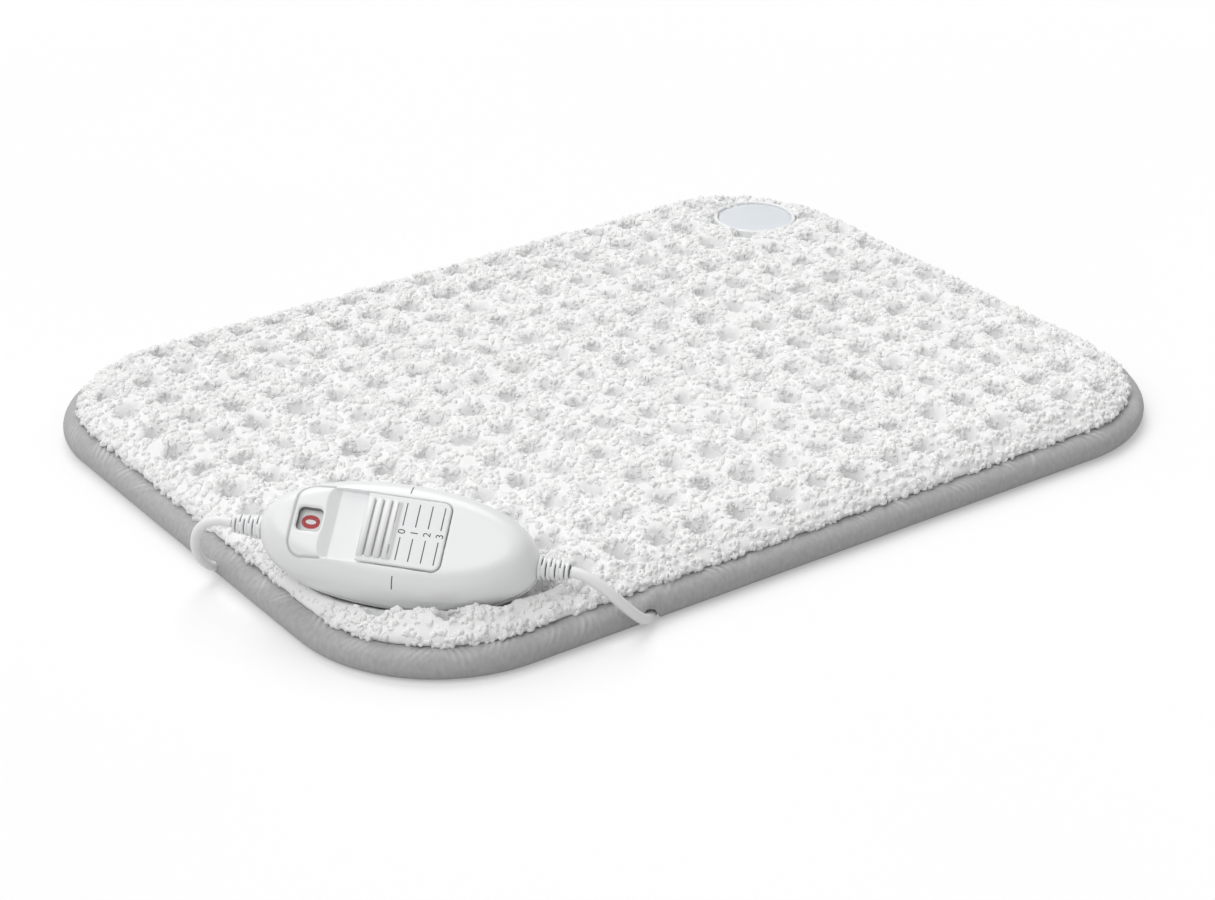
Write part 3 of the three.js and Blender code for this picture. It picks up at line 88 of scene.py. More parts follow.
@dataclass(frozen=True)
class Grain:
    """Repeatable smooth noise over a plane, in millimetres."""

    seed: int

    def at(self, x: Array, y: Array, size: float) -> Array:
        """Read smooth noise of a feature size.

        Args:
            x: Places along the pad.
            y: Places across the pad.
            size: Feature size.

        Returns:
            Numbers from 0 to 1.
        """
        table = np.random.default_rng(self.seed).random((NOISE_CELLS, NOISE_CELLS))
        gx, gy = x / size, y / size
        ix, iy = np.floor(gx).astype(int), np.floor(gy).astype(int)
        fx, fy = smooth(0, 1, gx - ix), smooth(0, 1, gy - iy)
        x0, y0, x1, y1 = (cell % NOISE_CELLS for cell in (ix, iy, ix + 1, iy + 1))
        low = mixed(table[x0, y0], table[x1, y0], fx)
        high = mixed(table[x0, y1], table[x1, y1], fx)
        return mixed(low, high, fy)

    def clumps(self, x: Array, y: Array, size: float) -> Array:
        """Read rounded clumps that touch each other.

        Args:
            x: Places along the pad.
            y: Places across the pad.
            size: Spacing of the clumps.

        Returns:
            Height from 0 between clumps to 1 on a clump.
        """
        rng = np.random.default_rng(self.seed + 11)
        jitter = rng.random((NOISE_CELLS, NOISE_CELLS, 2))
        height = 0.55 + 0.45 * rng.random((NOISE_CELLS, NOISE_CELLS))
        gx, gy = x / size, y / size
        ix, iy = np.floor(gx).astype(int), np.floor(gy).astype(int)
        found = np.zeros(np.shape(x))
        for dx in (-1, 0, 1):
            for dy in (-1, 0, 1):
                cx, cy = (ix + dx) % NOISE_CELLS, (iy + dy) % NOISE_CELLS
                px = ix + dx + jitter[cx, cy, 0]
                py = iy + dy + jitter[cx, cy, 1]
                near = np.hypot(gx - px, gy - py)
                found = np.maximum(found, height[cx, cy] * np.sqrt(np.clip(1 - near * near, 0, 1)))
        return found


def linked(name: str, data: bpy.types.ID) -> Piece:
    """Make an object of some data and link it to the scene."""
    piece = bpy.data.objects.new(name, data)
    bpy.context.scene.collection.objects.link(piece)
    return piece


def evaluated(piece: Piece) -> bpy.types.Mesh:
    """Make a plain mesh of an object with its modifiers applied."""
    graph = bpy.context.evaluated_depsgraph_get()
    return bpy.data.meshes.new_from_object(piece.evaluated_get(graph))


def round_angles(sides: int) -> Array:
    """Angles of the corners of a regular outline."""
    return np.linspace(0, 2 * np.pi, sides, endpoint=False)


def listed(x: Array, y: Array, z: Array) -> Array:
    """List the points of grids of coordinates."""
    return np.stack([x, y, z], -1).reshape(-1, 3)


def mesh_piece(name: str, places: Array, faces: list, material: Material) -> Piece:
    """Make a smooth mesh piece.

    Args:
        name: Name of the piece.
        places: Vertices in millimetres, in the part's frame.
        faces: Vertex numbers of each face.
        material: Finish of the whole piece.

    Returns:
        The object, linked to the scene.
    """
    mesh = bpy.data.meshes.new(name)
    mesh.from_pydata((np.asarray(places) * MM).tolist(), [], [list(map(int, f)) for f in faces])
    mesh.materials.append(material)
    mesh.shade_smooth()
    return linked(name, mesh)


def note(piece: Piece, name: str, values: Array) -> None:
    """Write one number for each vertex of a piece."""
    data = piece.data.attributes.new(name, "FLOAT", "POINT").data
    data.foreach_set("value", np.asarray(values, np.float32).ravel())


def settle(piece: Piece, body: Body, slot: str, *nodes: str) -> Piece:
    """Fix a finished piece to its body.

    Args:
        piece: The finished piece.
        body: Body that it moves with.
        slot: Material slot of the record; not used.
        nodes: CAD nodes that it stands for.

    Returns:
        The same piece.
    """
    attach(piece, body.value)
    if nodes:
        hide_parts(*nodes)
    LOG.info("%s rides on %s", piece.name, body.value)
    return piece


def grid_faces(rows: int, columns: int, start: int = 0, turned: bool = False) -> list:
    """List the quads of a grid of vertices.

    Args:
        rows: Vertices across.
        columns: Vertices along.
        start: Number of the first vertex.
        turned: Whether the faces look the other way.

    Returns:
        Faces as lists of four vertex numbers.
    """
    j, i = np.meshgrid(np.arange(rows - 1), np.arange(columns - 1), indexing="ij")
    a = start + j * columns + i
    quads = np.stack([a, a + 1, a + columns + 1, a + columns], -1).reshape(-1, 4)
    return (quads[:, ::-1] if turned else quads).tolist()


def grid_border(rows: int, columns: int) -> Array:
    """List a grid's border vertices, anticlockwise from its first one."""
    front = np.arange(columns)
    right = np.arange(1, rows) * columns + columns - 1
    back = (rows - 1) * columns + np.arange(columns - 2, -1, -1)
    left = np.arange(rows - 2, 0, -1) * columns
    return np.concatenate([front, right, back, left])


def band_faces(upper: Array, lower: Array) -> list:
    """Join two closed rings of vertices, the lower one outside or below the upper one."""
    return np.stack([lower, np.roll(lower, -1), np.roll(upper, -1), upper], -1).tolist()


def tube_faces(rings: int, sides: int, closed: bool = False) -> list:
    """Join rings of vertices into a closed skin.

    Args:
        rings: Number of rings, each below or outside the one before.
        sides: Vertices in each ring.
        closed: Whether the last ring joins the first, or both are capped.

    Returns:
        Faces as lists of vertex numbers.
    """
    numbers = np.arange(rings * sides).reshape(rings, sides)
    pairs = list(zip(numbers, numbers[1:]))
    if closed:
        pairs.append((numbers[-1], numbers[0]))
    faces = [face for upper, lower in pairs for face in band_faces(upper, lower)]
    return faces if closed else [*faces, numbers[0].tolist(), numbers[-1][::-1].tolist()]


def turned_over(faces: list) -> list:
    """Make faces look the other way."""
    return [face[::-1] for face in faces]


def slab_faces(rows: int, columns: int) -> list:
    """Join a grid and the same grid below it into a closed slab."""
    border, below = grid_border(rows, columns), rows * columns
    return grid_faces(rows, columns) + band_faces(border, border + below) + grid_faces(rows, columns, below, True)


def cut(piece: Piece, cutter: Piece) -> None:
    """Take a cutter out of a piece and remove the cutter."""
    modifier = piece.modifiers.new("cut", "BOOLEAN")
    modifier.operation = "DIFFERENCE"
    modifier.solver = "EXACT"
    modifier.material_mode = "TRANSFER"
    modifier.object = cutter
    mesh = evaluated(piece)
    piece.modifiers.clear()
    piece.data = mesh
    bpy.data.objects.remove(cutter)


class NodeBuilder:
    """A node tree that is put together node by node."""

    tree: bpy.types.NodeTree

    def feed(self, socket: Socket, value: object) -> None:
        """Link a socket into an input, or set the input's own value."""
        if isinstance(value, Socket):
            self.tree.links.new(value, socket)
        else:
            socket.default_value = value

    def node(self, kind: str, inputs: dict | None = None, **settings: object) -> Node:
        """Add a node.

        Args:
            kind: Node type.
            inputs: Values or sockets by input name or number.
            settings: Properties of the node.

        Returns:
            The node.
        """
        added = self.tree.nodes.new(kind)
        for key, value in settings.items():
            setattr(added, key, value)
        for key, value in (inputs or {}).items():
            self.feed(added.inputs[key], value)
        return added

    def math(self, operation: str, a: object, b: object = 0.0) -> Socket:
        """Combine two numbers."""
        return self.node("ShaderNodeMath", {0: a, 1: b}, operation=operation).outputs[0]


class Paint(NodeBuilder):
    """A material with one principled shader."""

    def __init__(self, name: str) -> None:
        """Start the material.

        Args:
            name: Name of the material.
        """
        self.material = bpy.data.materials.new(name)
        self.material.use_nodes = True
        self.tree = self.material.node_tree
        self.shader = self.tree.nodes["Principled BSDF"]

    def set(self, **values: object) -> None:
        """Set shader inputs, with underscores for the spaces in their names."""
        for key, value in values.items():
            self.feed(self.shader.inputs[key.replace("_", " ")], value)

    def place(self) -> Socket:
        """Object coordinates, in metres."""
        return self.node("ShaderNodeTexCoord").outputs["Object"]

    def noise(self, scale: float, detail: float = 4.0, place: Socket | None = None,
              stretch: Point = (1.0, 1.0, 1.0)) -> Socket:
        """Smooth noise from 0 to 1.

        Args:
            scale: Features to a metre.
            detail: How many finer layers it has.
            place: Coordinates, or None for the object's own.
            stretch: Scale of each axis.

        Returns:
            The noise's socket.
        """
        mapped = self.node("ShaderNodeMapping", {"Vector": place or self.place(), "Scale": stretch})
        noise = self.node("ShaderNodeTexNoise", {"Vector": mapped.outputs[0], "Scale": scale, "Detail": detail})
        return noise.outputs["Fac"]

    def read(self, name: str) -> Socket:
        """A number that the piece holds at each vertex."""
        return self.node("ShaderNodeAttribute", attribute_name=name).outputs["Fac"]

    def between(self, share: Socket, low: Colour, high: Colour,
                ends: tuple[float, float] = (0.3, 0.7)) -> Socket:
        """A colour between two.

        Args:
            share: Where to read.
            low: Colour at the lower end.
            high: Colour at the upper end.
            ends: Numbers at which the ends lie.

        Returns:
            The colour's socket.
        """
        ramp = self.node("ShaderNodeValToRGB", {"Fac": share})
        for stop, at, colour in zip(ramp.color_ramp.elements, ends, (low, high)):
            stop.position = at
            stop.color = (*colour, 1.0)
        return ramp.outputs["Color"]

    def blend(self, share: Socket, low: object, high: object) -> Socket:
        """Mix two colours.

        Args:
            share: Share of the second.
            low: First colour or socket.
            high: Second colour or socket.

        Returns:
            The mixed colour's socket.
        """
        mix = self.node("ShaderNodeMix", {0: share}, data_type="RGBA")
        for number, value in ((6, low), (7, high)):
            self.feed(mix.inputs[number], value if isinstance(value, Socket) else (*value, 1.0))
        return mix.outputs[2]

    def scaled(self, value: Socket, low: float, high: float) -> Socket:
        """Bring 0 to 1 to another range."""
        return self.node("ShaderNodeMapRange", {"Value": value, "To Min": low, "To Max": high}).outputs[0]

    def bump(self, height: Socket, depth: float, strength: float = 1.0) -> None:
        """Raise the surface by a height of 0 to 1 times a depth in metres."""
        bump = self.node("ShaderNodeBump", {"Height": height, "Distance": depth, "Strength": strength})
        self.set(Normal=bump.outputs[0])


@dataclass(frozen=True)
class Moulded:
    """Moulded plastic with a fine grain, slightly uneven gloss and painted shade where a vertex number marks a groove
    or step.
    """

    name: str
    colour: Colour
    shade: Colour
    roughness: float = 0.35
    grain: float = 0.00002
    coat: float = 0.0
    # Dark grey and strength of the painted shade in grooves and on steps.
    line_colour: Colour = (0.24, 0.245, 0.25)
    line_share: float = 0.5

    def material(self) -> Material:
        """Make the material."""
        paint = Paint(self.name)
        wide = paint.noise(28.0, 3.0)
        fine = paint.noise(2600.0, 2.0)
        # Painted shade: a vertex number darkens the colour in grooves and on steps.
        painted_shade = paint.math("MULTIPLY", paint.read("line"), self.line_share)
        paint.set(Base_Color=paint.blend(painted_shade, paint.between(wide, self.shade, self.colour), self.line_colour),
                  Roughness=paint.scaled(paint.noise(160.0), self.roughness - 0.05, self.roughness + 0.05),
                  Coat_Weight=self.coat, Coat_Roughness=0.12)
        paint.bump(fine, self.grain, 0.5)
        return paint.material


@dataclass(frozen=True)
class Metal:
    """Plain drawn or rolled metal."""

    name: str
    colour: Colour
    shade: Colour
    roughness: float = 0.3

    def material(self) -> Material:
        """Make the material."""
        paint = Paint(self.name)
        drawn = paint.noise(900.0, 3.0, stretch=(1.0, 0.08, 1.0))
        paint.set(Base_Color=paint.between(paint.noise(60.0), self.shade, self.colour), Metallic=1.0,
                  Roughness=paint.scaled(drawn, self.roughness - 0.08, self.roughness + 0.12))
        paint.bump(drawn, 0.00001, 0.4)
        return paint.material


@dataclass(frozen=True)
class Cloth:
    """Woven or knitted cloth, with threads along and across, and a painted highlight on the crests of its wrinkles."""

    name: str
    colour: Colour
    shade: Colour
    thread: float = 0.0006
    depth: float = 0.0001
    sheen: float = 0.2
    by_length: bool = False
    wave_period: float = 0.314
    # How much paler the painted highlight makes the wrinkles' crests.
    ridge_gain: float = 1.3

    def material(self) -> Material:
        """Make the material, streaked across where the cloth is laid out by its length."""
        paint = Paint(self.name)
        place = paint.node("ShaderNodeUVMap", uv_map="cloth").outputs[0] if self.by_length else paint.place()
        bands = []
        for axis in "XY":
            wave = paint.node("ShaderNodeTexWave", {
                "Vector": place, "Scale": self.wave_period / self.thread, "Distortion": 0.8, "Detail": 1.0,
            }, bands_direction=axis)
            bands.append(wave.outputs["Fac"])
        weave = paint.math("MULTIPLY", bands[0], bands[1])
        fibre = paint.noise(0.35 / self.thread, 3.0, place)
        height = paint.math("ADD", weave, paint.math("MULTIPLY", fibre, 0.6))
        if self.by_length:
            patches = paint.noise(520.0, 5.0, place, (1.0, 0.6, 1.0))
            height = paint.math("ADD", height, paint.math("MULTIPLY", patches, 2.0))
        else:
            patches = paint.noise(45.0, 4.0)
        wide = paint.between(patches, self.shade, self.colour)
        tone = paint.blend(paint.scaled(weave, 0.0, 0.14), wide, self.shade)
        # Painted highlight: the crests of the wrinkles turn paler.
        pale = tuple(min(1.0, self.ridge_gain * c) for c in self.colour)
        paint.set(Base_Color=paint.blend(paint.read("ridge"), tone, pale), Roughness=0.9,
                  Sheen_Weight=self.sheen, Sheen_Roughness=0.5)
        paint.bump(height, self.depth)
        return paint.material


@dataclass(frozen=True)
class Fleece:
    """White fleece, with painted shade greying its dimples and the foot of its edge, and strands that differ a little.
    """

    colour: Colour = (0.955, 0.955, 0.95)
    dull: Colour = (0.92, 0.92, 0.915)
    patch: Colour = (0.88, 0.88, 0.88)
    # Grey of the painted shade in the dimples and down the edge.
    hollow: Colour = (0.60, 0.60, 0.605)

    def material(self) -> Material:
        """Make the material."""
        paint = Paint("fleece")
        strand = paint.between(paint.read("strand"), self.dull, self.colour, (0.0, 0.6))
        patch = paint.blend(paint.scaled(paint.noise(140.0), 0.0, 0.2), strand, self.patch)
        # Painted shade: a vertex number greys the colour in the dimples and down the edge, unevenly by noise.
        fleece_shade = paint.math("MULTIPLY", paint.read("hollow"), paint.scaled(paint.noise(420.0), 0.6, 1.0))
        paint.set(Base_Color=paint.blend(fleece_shade, patch, self.hollow), Roughness=0.95, Sheen_Weight=0.9,
                  Sheen_Roughness=0.85, Specular_IOR_Level=0.1)
        paint.bump(paint.noise(1500.0, 4.0), 0.00022)
        return paint.material


@dataclass(frozen=True)
class Felt:
    """Needled wadding of matted fibres."""

    name: str
    colour: Colour
    shade: Colour

    def material(self) -> Material:
        """Make the material."""
        paint = Paint(self.name)
        fibre = paint.noise(900.0, 6.0, stretch=(1.0, 0.35, 1.0))
        paint.set(Base_Color=paint.between(fibre, self.shade, self.colour), Roughness=0.97, Sheen_Weight=0.3)
        paint.bump(fibre, 0.0005)
        return paint.material


@dataclass(frozen=True)
class Printed:
    """Printed ink, a little thinner in places."""

    name: str
    colour: Colour
    thin: Colour

    def material(self) -> Material:
        """Make the material."""
        paint = Paint(self.name)
        paint.set(Base_Color=paint.between(paint.noise(1800.0, 3.0), self.thin, self.colour, (0.2, 0.5)), Roughness=0.7,
                  Specular_IOR_Level=0.1)
        return paint.material


@dataclass(frozen=True)
class Clear:
    """Clear pane with faint surface haze."""

    name: str
    colour: Colour
    shade: Colour

    def material(self) -> Material:
        """Make the material."""
        paint = Paint(self.name)
        haze = paint.noise(300.0, 3.0)
        paint.set(Base_Color=paint.between(haze, self.shade, self.colour), Alpha=0.05,
                  Roughness=paint.scaled(haze, 0.04, 0.12))
        return paint.material


def made(finish: object) -> Material:
    """Leave a finish's material to be made with the other finishes."""
    return field(default_factory=finish.material)


def numbered(name: str, count: int) -> list[str]:
    """List names that end in a number from 1."""
    return [f"{name}_{k + 1}" for k in range(count)]


@dataclass
class Finishes:
    """All the finishes of the part, made once."""

    fleece: Material = made(Fleece())
    binding: Material = made(Cloth("binding_cloth", (0.49, 0.49, 0.49), (0.40, 0.40, 0.40), thread=0.0005,
                                   depth=0.00006, sheen=0.15, by_length=True))
    thread: Material = made(Cloth("seam_thread", (0.40, 0.40, 0.40), (0.30, 0.30, 0.30), thread=0.0002,
                                  depth=0.00004))
    backing: Material = made(Cloth("brushed_backing", (0.84, 0.84, 0.83), (0.74, 0.74, 0.73), thread=0.0009,
                                   depth=0.00015, sheen=0.3))
    carrier: Material = made(Cloth("carrier_cloth", (0.72, 0.67, 0.56), (0.60, 0.55, 0.45), thread=0.0011,
                                   depth=0.00012))
    felt: Material = made(Felt("wadding", (0.80, 0.78, 0.73), (0.66, 0.64, 0.58)))
    casing: Material = made(Moulded("casing_plastic", (0.91, 0.915, 0.92), (0.89, 0.895, 0.90), roughness=0.34,
                                    grain=0.000006, coat=0.12))
    knob: Material = made(Moulded("slider_plastic", (0.88, 0.885, 0.89), (0.86, 0.865, 0.87), roughness=0.38,
                                  grain=0.000010, coat=0.1))
    sheath: Material = made(Moulded("lead_sheath", (0.93, 0.93, 0.925), (0.90, 0.90, 0.895), roughness=0.42,
                                    grain=0.00003))
    inner: Material = made(Moulded("inner_plastic", (0.72, 0.73, 0.74), (0.66, 0.67, 0.68), roughness=0.5))
    # Dark grey that paints shade on the window's walls, through the cut, and on the strain reliefs' cores seen through
    # their slots.
    relief: Material = made(Moulded("relief_core", (0.26, 0.265, 0.27), (0.20, 0.205, 0.21), roughness=0.5))
    plate: Material = made(Moulded("window_plate", (0.90, 0.90, 0.90), (0.87, 0.87, 0.87), roughness=0.5))
    black: Material = made(Moulded("black_plastic", (0.022, 0.022, 0.023), (0.014, 0.014, 0.014), roughness=0.45))
    board: Material = made(Moulded("board_mask", (0.03, 0.13, 0.055), (0.02, 0.095, 0.04), roughness=0.4))
    badge: Material = made(Moulded("badge_inlay", (0.80, 0.84, 0.88), (0.74, 0.78, 0.83), roughness=0.34, coat=0.3))
    steel: Material = made(Metal("steel", (0.56, 0.57, 0.58), (0.46, 0.47, 0.48)))
    brass: Material = made(Metal("brass", (0.60, 0.40, 0.12), (0.48, 0.31, 0.09)))
    ink: Material = made(Printed("grey_print", (0.10, 0.105, 0.11), (0.16, 0.165, 0.17)))
    red: Material = made(Printed("red_print", (0.50, 0.004, 0.012), (0.58, 0.012, 0.02)))
    clear: Material = made(Clear("clear_pane", (0.95, 0.96, 0.97), (0.90, 0.92, 0.93)))

    def dress(self, nodes: dict[str, Piece]) -> None:
        """Give each carried-over CAD node its finish.

        Args:
            nodes: CAD objects by name.
        """
        groups = (
            (self.clear, ["window_pane"]),
            (self.plate, ["display_plate"]),
            (self.board, ["circuit_board"]),
            (self.badge, ["capacitor"]),
            (self.sheath, ["plug_boot", "plug_body"]),
            (self.brass, ["wiper_contact", "contact_strip", "heating_wire"]),
            (self.inner, [*numbered("terminal_block", 2), *numbered("cord_clamp", 2)]),
            (self.steel, ["detent_spring", "fuse", *numbered("casing_screw", 4), *numbered("plug_pin", 2)]),
            (self.black, ["slider_carriage", "triac", "timer_chip", "coil_tie", "lead_anchor",
                          *numbered("thermal_cutout", 2)]),
        )
        for material, names in groups:
            for name in names:
                nodes[name].data.materials.clear()
                nodes[name].data.materials.append(material)
                LOG.info("%s dressed as %s", name, material.name)


class Repeat(NodeBuilder):
    """A geometry node tree that repeats a shape along a path or over a surface."""

    def __init__(self, name: str) -> None:
        """Start a tree with a geometry going in and one coming out.

        Args:
            name: Name of the tree.
        """
        self.tree = bpy.data.node_groups.new(name, "GeometryNodeTree")
        self.identifiers: dict[str, str] = {}
        self.entry = self.tree.nodes.new("NodeGroupInput")
        self.leave = self.tree.nodes.new("NodeGroupOutput")
        self.ask("Geometry", "NodeSocketGeometry")
        self.tree.interface.new_socket("Geometry", in_out="OUTPUT", socket_type="NodeSocketGeometry")

    def ask(self, name: str, kind: str) -> None:
        """Add a named input."""
        self.identifiers[name] = self.tree.interface.new_socket(name, in_out="INPUT", socket_type=kind).identifier

    def given(self, name: str) -> Socket:
        """The socket of a named input."""
        return next(s for s in self.entry.outputs if s.identifier == self.identifiers[name])

    def read(self, name: str, kind: str) -> Socket:
        """A named attribute of the geometry."""
        return self.node("GeometryNodeInputNamedAttribute", {"Name": name}, data_type=kind).outputs[0]

    def random(self, kind: str, low: object, high: object, seed: int) -> Socket:
        """A random value for each point.

        Args:
            kind: FLOAT_VECTOR, FLOAT or INT.
            low: Least value.
            high: Greatest value.
            seed: Seed of the draw.

        Returns:
            The value's socket.
        """
        order = ("FLOAT_VECTOR", "FLOAT", "INT").index(kind)
        value = self.node("FunctionNodeRandomValue", {2 * order: low, 2 * order + 1: high, "Seed": seed},
                          data_type=kind)
        return value.outputs[order]

    def shape(self, name: str) -> Socket:
        """The geometry of an object that is given by name, as an instance."""
        shown = self.node("GeometryNodeObjectInfo", {"Object": self.given(name), "As Instance": True})
        return shown.outputs["Geometry"]

    def finish(self, geometry: Socket, keep: Socket | None = None) -> None:
        """End the tree in plain mesh with its material.

        Args:
            geometry: Instances to realize.
            keep: Geometry that joins them, or None.
        """
        real = self.node("GeometryNodeRealizeInstances", {"Geometry": geometry}).outputs[0]
        if keep is not None:
            both = self.node("GeometryNodeJoinGeometry")
            self.tree.links.new(real, both.inputs[0])
            self.tree.links.new(keep, both.inputs[0])
            real = both.outputs[0]
        dressed = self.node("GeometryNodeSetMaterial", {"Geometry": real, "Material": self.given("Material")})
        self.tree.links.new(dressed.outputs[0], self.leave.inputs[0])

    def bake(self, host: Piece, values: dict[str, object]) -> Piece:
        """Run the tree on an object and keep the result as its plain mesh.

        Args:
            host: Object that the tree works on.
            values: Inputs by name.

        Returns:
            The same object with its new mesh.
        """
        modifier = host.modifiers.new("repeat", "NODES")
        modifier.node_group = self.tree
        for name, value in values.items():
            modifier[self.identifiers[name]] = value
        mesh = evaluated(host)
        host.modifiers.clear()
        host.data = mesh
        mesh.name = host.name
        LOG.info("%s repeated into %d faces", host.name, len(mesh.polygons))
        return host


def line_tree(name: str) -> Repeat:
    """Make a tree that repeats a shape at each vertex, by the vertex's own turn and size.

    Args:
        name: Name of the tree.

    Returns:
        The tree, with inputs Shape and Material.
    """
    repeat = Repeat(name)
    repeat.ask("Shape", "NodeSocketObject")
    repeat.ask("Material", "NodeSocketMaterial")
    turn = repeat.node("FunctionNodeEulerToRotation", {0: repeat.read("turn", "FLOAT_VECTOR")})
    points = repeat.node("GeometryNodeMeshToPoints", {"Mesh": repeat.given("Geometry")})
    put = repeat.node("GeometryNodeInstanceOnPoints", {
        "Points": points.outputs[0], "Instance": repeat.shape("Shape"), "Rotation": turn.outputs[0],
        "Scale": repeat.read("size", "FLOAT_VECTOR"),
    })
    repeat.finish(put.outputs[0])
    return repeat


def repeated(name: str, shape: Piece, places: Array, turns: Array, sizes: Array, material: Material) -> Piece:
    """Repeat a shape at given places and remove the shape.

    Args:
        name: Name of the piece.
        shape: Object to repeat, about its own origin, in millimetres times MM.
        places: Places in millimetres.
        turns: Euler turns at each place.
        sizes: Scale at each place.
        material: Finish.

    Returns:
        The piece as a plain mesh.
    """
    host = mesh_piece(name, places, [], material)
    for key, values in (("turn", turns), ("size", sizes)):
        data = host.data.attributes.new(key, "FLOAT_VECTOR", "POINT").data
        data.foreach_set("vector", np.asarray(values, np.float32).ravel())
    line_tree(name + "_row").bake(host, {"Shape": shape, "Material": material})
    host.data.shade_smooth()
    bpy.data.objects.remove(shape)
    return host


@dataclass(frozen=True)
class PadForm:
    """Outline and heights that the pad's layers share, in millimetres."""

    length: float = 440.0
    width: float = 330.0
    corner: float = 68.0
    pile_inset: float = 13.3
    rim_flat: float = 2.7
    rim_blend: float = 20.0
    tuck_x: tuple[float, float] = (-96.06, 18.7)
    tuck_y: tuple[float, float] = (-90.06, 59.0)
    tuck_front: float = -149.0
    tuck_side_run: float = 56.0
    tuck_back_run: float = 48.7

    @property
    def pile_half(self) -> tuple[float, float]:
        """Half length and half width of the pile."""
        return self.length / 2 - self.pile_inset, self.width / 2 - self.pile_inset

    def depth(self, x: Array, y: Array) -> Array:
        """Distance inward from the pad's outline."""
        dx = np.abs(x) - (self.length / 2 - self.corner)
        dy = np.abs(y) - (self.width / 2 - self.corner)
        outside = np.hypot(np.maximum(dx, 0), np.maximum(dy, 0))
        return self.corner - outside - np.minimum(np.maximum(dx, dy), 0)

    def tuck(self, x: Array, y: Array) -> Array:
        """How far a place is raised over the stowed lead, 0 to 1."""
        run = self.tuck_side_run
        along = np.clip(np.minimum((x - self.tuck_x[0] + run) / run, (self.tuck_x[1] + run - x) / run), 0, 1)
        front = np.clip((y - self.tuck_front) / (self.tuck_y[0] - self.tuck_front), 0, 1)
        back = np.clip((self.tuck_y[1] + self.tuck_back_run - y) / self.tuck_back_run, 0, 1)
        return along * np.minimum(front, back)

    def layer(self, layer: Layer, side: int, x: Array, y: Array) -> Array:
        """Height of a layer.

        Args:
            layer: Which layer.
            side: 0 for its foot, 1 for its top.
            x: Places along the pad.
            y: Places across the pad.

        Returns:
            Heights over the floor.
        """
        rim, flat, raised = (level[side] for level in layer.value)
        away = smooth(self.rim_flat, self.rim_blend, self.depth(x, y) - self.pile_inset)
        return mixed(rim, flat, away) + self.tuck(x, y) * (raised - flat)

    def grid(self, inset: float, step: float) -> tuple[Array, Array]:
        """Lay a grid over the pad that follows its rounded corners.

        Args:
            inset: Distance of the grid's border from the pad's outline.
            step: Spacing of the grid.

        Returns:
            Places along and across, row by row.
        """
        half_x, half_y, r = self.length / 2 - inset, self.width / 2 - inset, self.corner - inset
        straight = half_y - r
        arc = np.linspace(0, np.pi / 2, max(6, int(r * np.pi / 2 / (1.25 * step))) + 1)
        middle = np.linspace(-straight, straight, int(2 * straight / step) + 1)
        rows = np.concatenate([-straight - r * np.sin(arc[:0:-1]), middle, straight + r * np.sin(arc[1:])])
        bend = np.clip(np.abs(rows) - straight, 0, r)
        reach = half_x - r + np.sqrt(np.clip(r * r - bend * bend, 0, None))
        columns = np.linspace(-1, 1, int(2 * half_x / step) + 1)
        return reach[:, None] * columns[None, :], np.repeat(rows[:, None], len(columns), 1)

    def outward(self, x: Array, y: Array) -> Array:
        """Directions outward at places along the border."""
        cx = np.clip(x, -self.length / 2 + self.corner, self.length / 2 - self.corner)
        cy = np.clip(y, -self.width / 2 + self.corner, self.width / 2 - self.corner)
        away = np.stack([x - cx, y - cy], -1)
        return away / np.maximum(np.linalg.norm(away, axis=-1, keepdims=True), 1e-9)

    def outline(self, count: int) -> tuple[Array, Array, Array]:
        """Walk round the pad's outline.

        Args:
            count: Number of places.

        Returns:
            Places, directions outward, and distances along.
        """
        a, b, r = self.length / 2 - self.corner, self.width / 2 - self.corner, self.corner
        quarter = r * np.pi / 2
        runs = [2 * b, quarter, 2 * a, quarter, 2 * b, quarter, 2 * a, quarter]
        ends = np.cumsum([0.0, *runs])
        along = np.arange(count) * ends[-1] / count
        places, away = np.zeros((count, 2)), np.zeros((count, 2))
        corners = [(a, b), (-a, b), (-a, -b), (a, -b)]
        starts = [(a + r, -b), (a, b + r), (-a - r, b), (-a, -b - r)]
        heads = [(0, 1), (-1, 0), (0, -1), (1, 0)]
        for k in range(4):
            straight = (along >= ends[2 * k]) & (along < ends[2 * k + 1])
            s = (along - ends[2 * k])[straight, None]
            places[straight] = np.array(starts[k]) + s * np.array(heads[k])
            away[straight] = (heads[k][1], -heads[k][0])
            bend = (along >= ends[2 * k + 1]) & (along < ends[2 * k + 2])
            angle = (along - ends[2 * k + 1])[bend] / r + k * np.pi / 2
            away[bend] = np.stack([np.cos(angle), np.sin(angle)], -1)
            places[bend] = np.array(corners[k]) + r * away[bend]
        return places, away, along


FORM = PadForm()


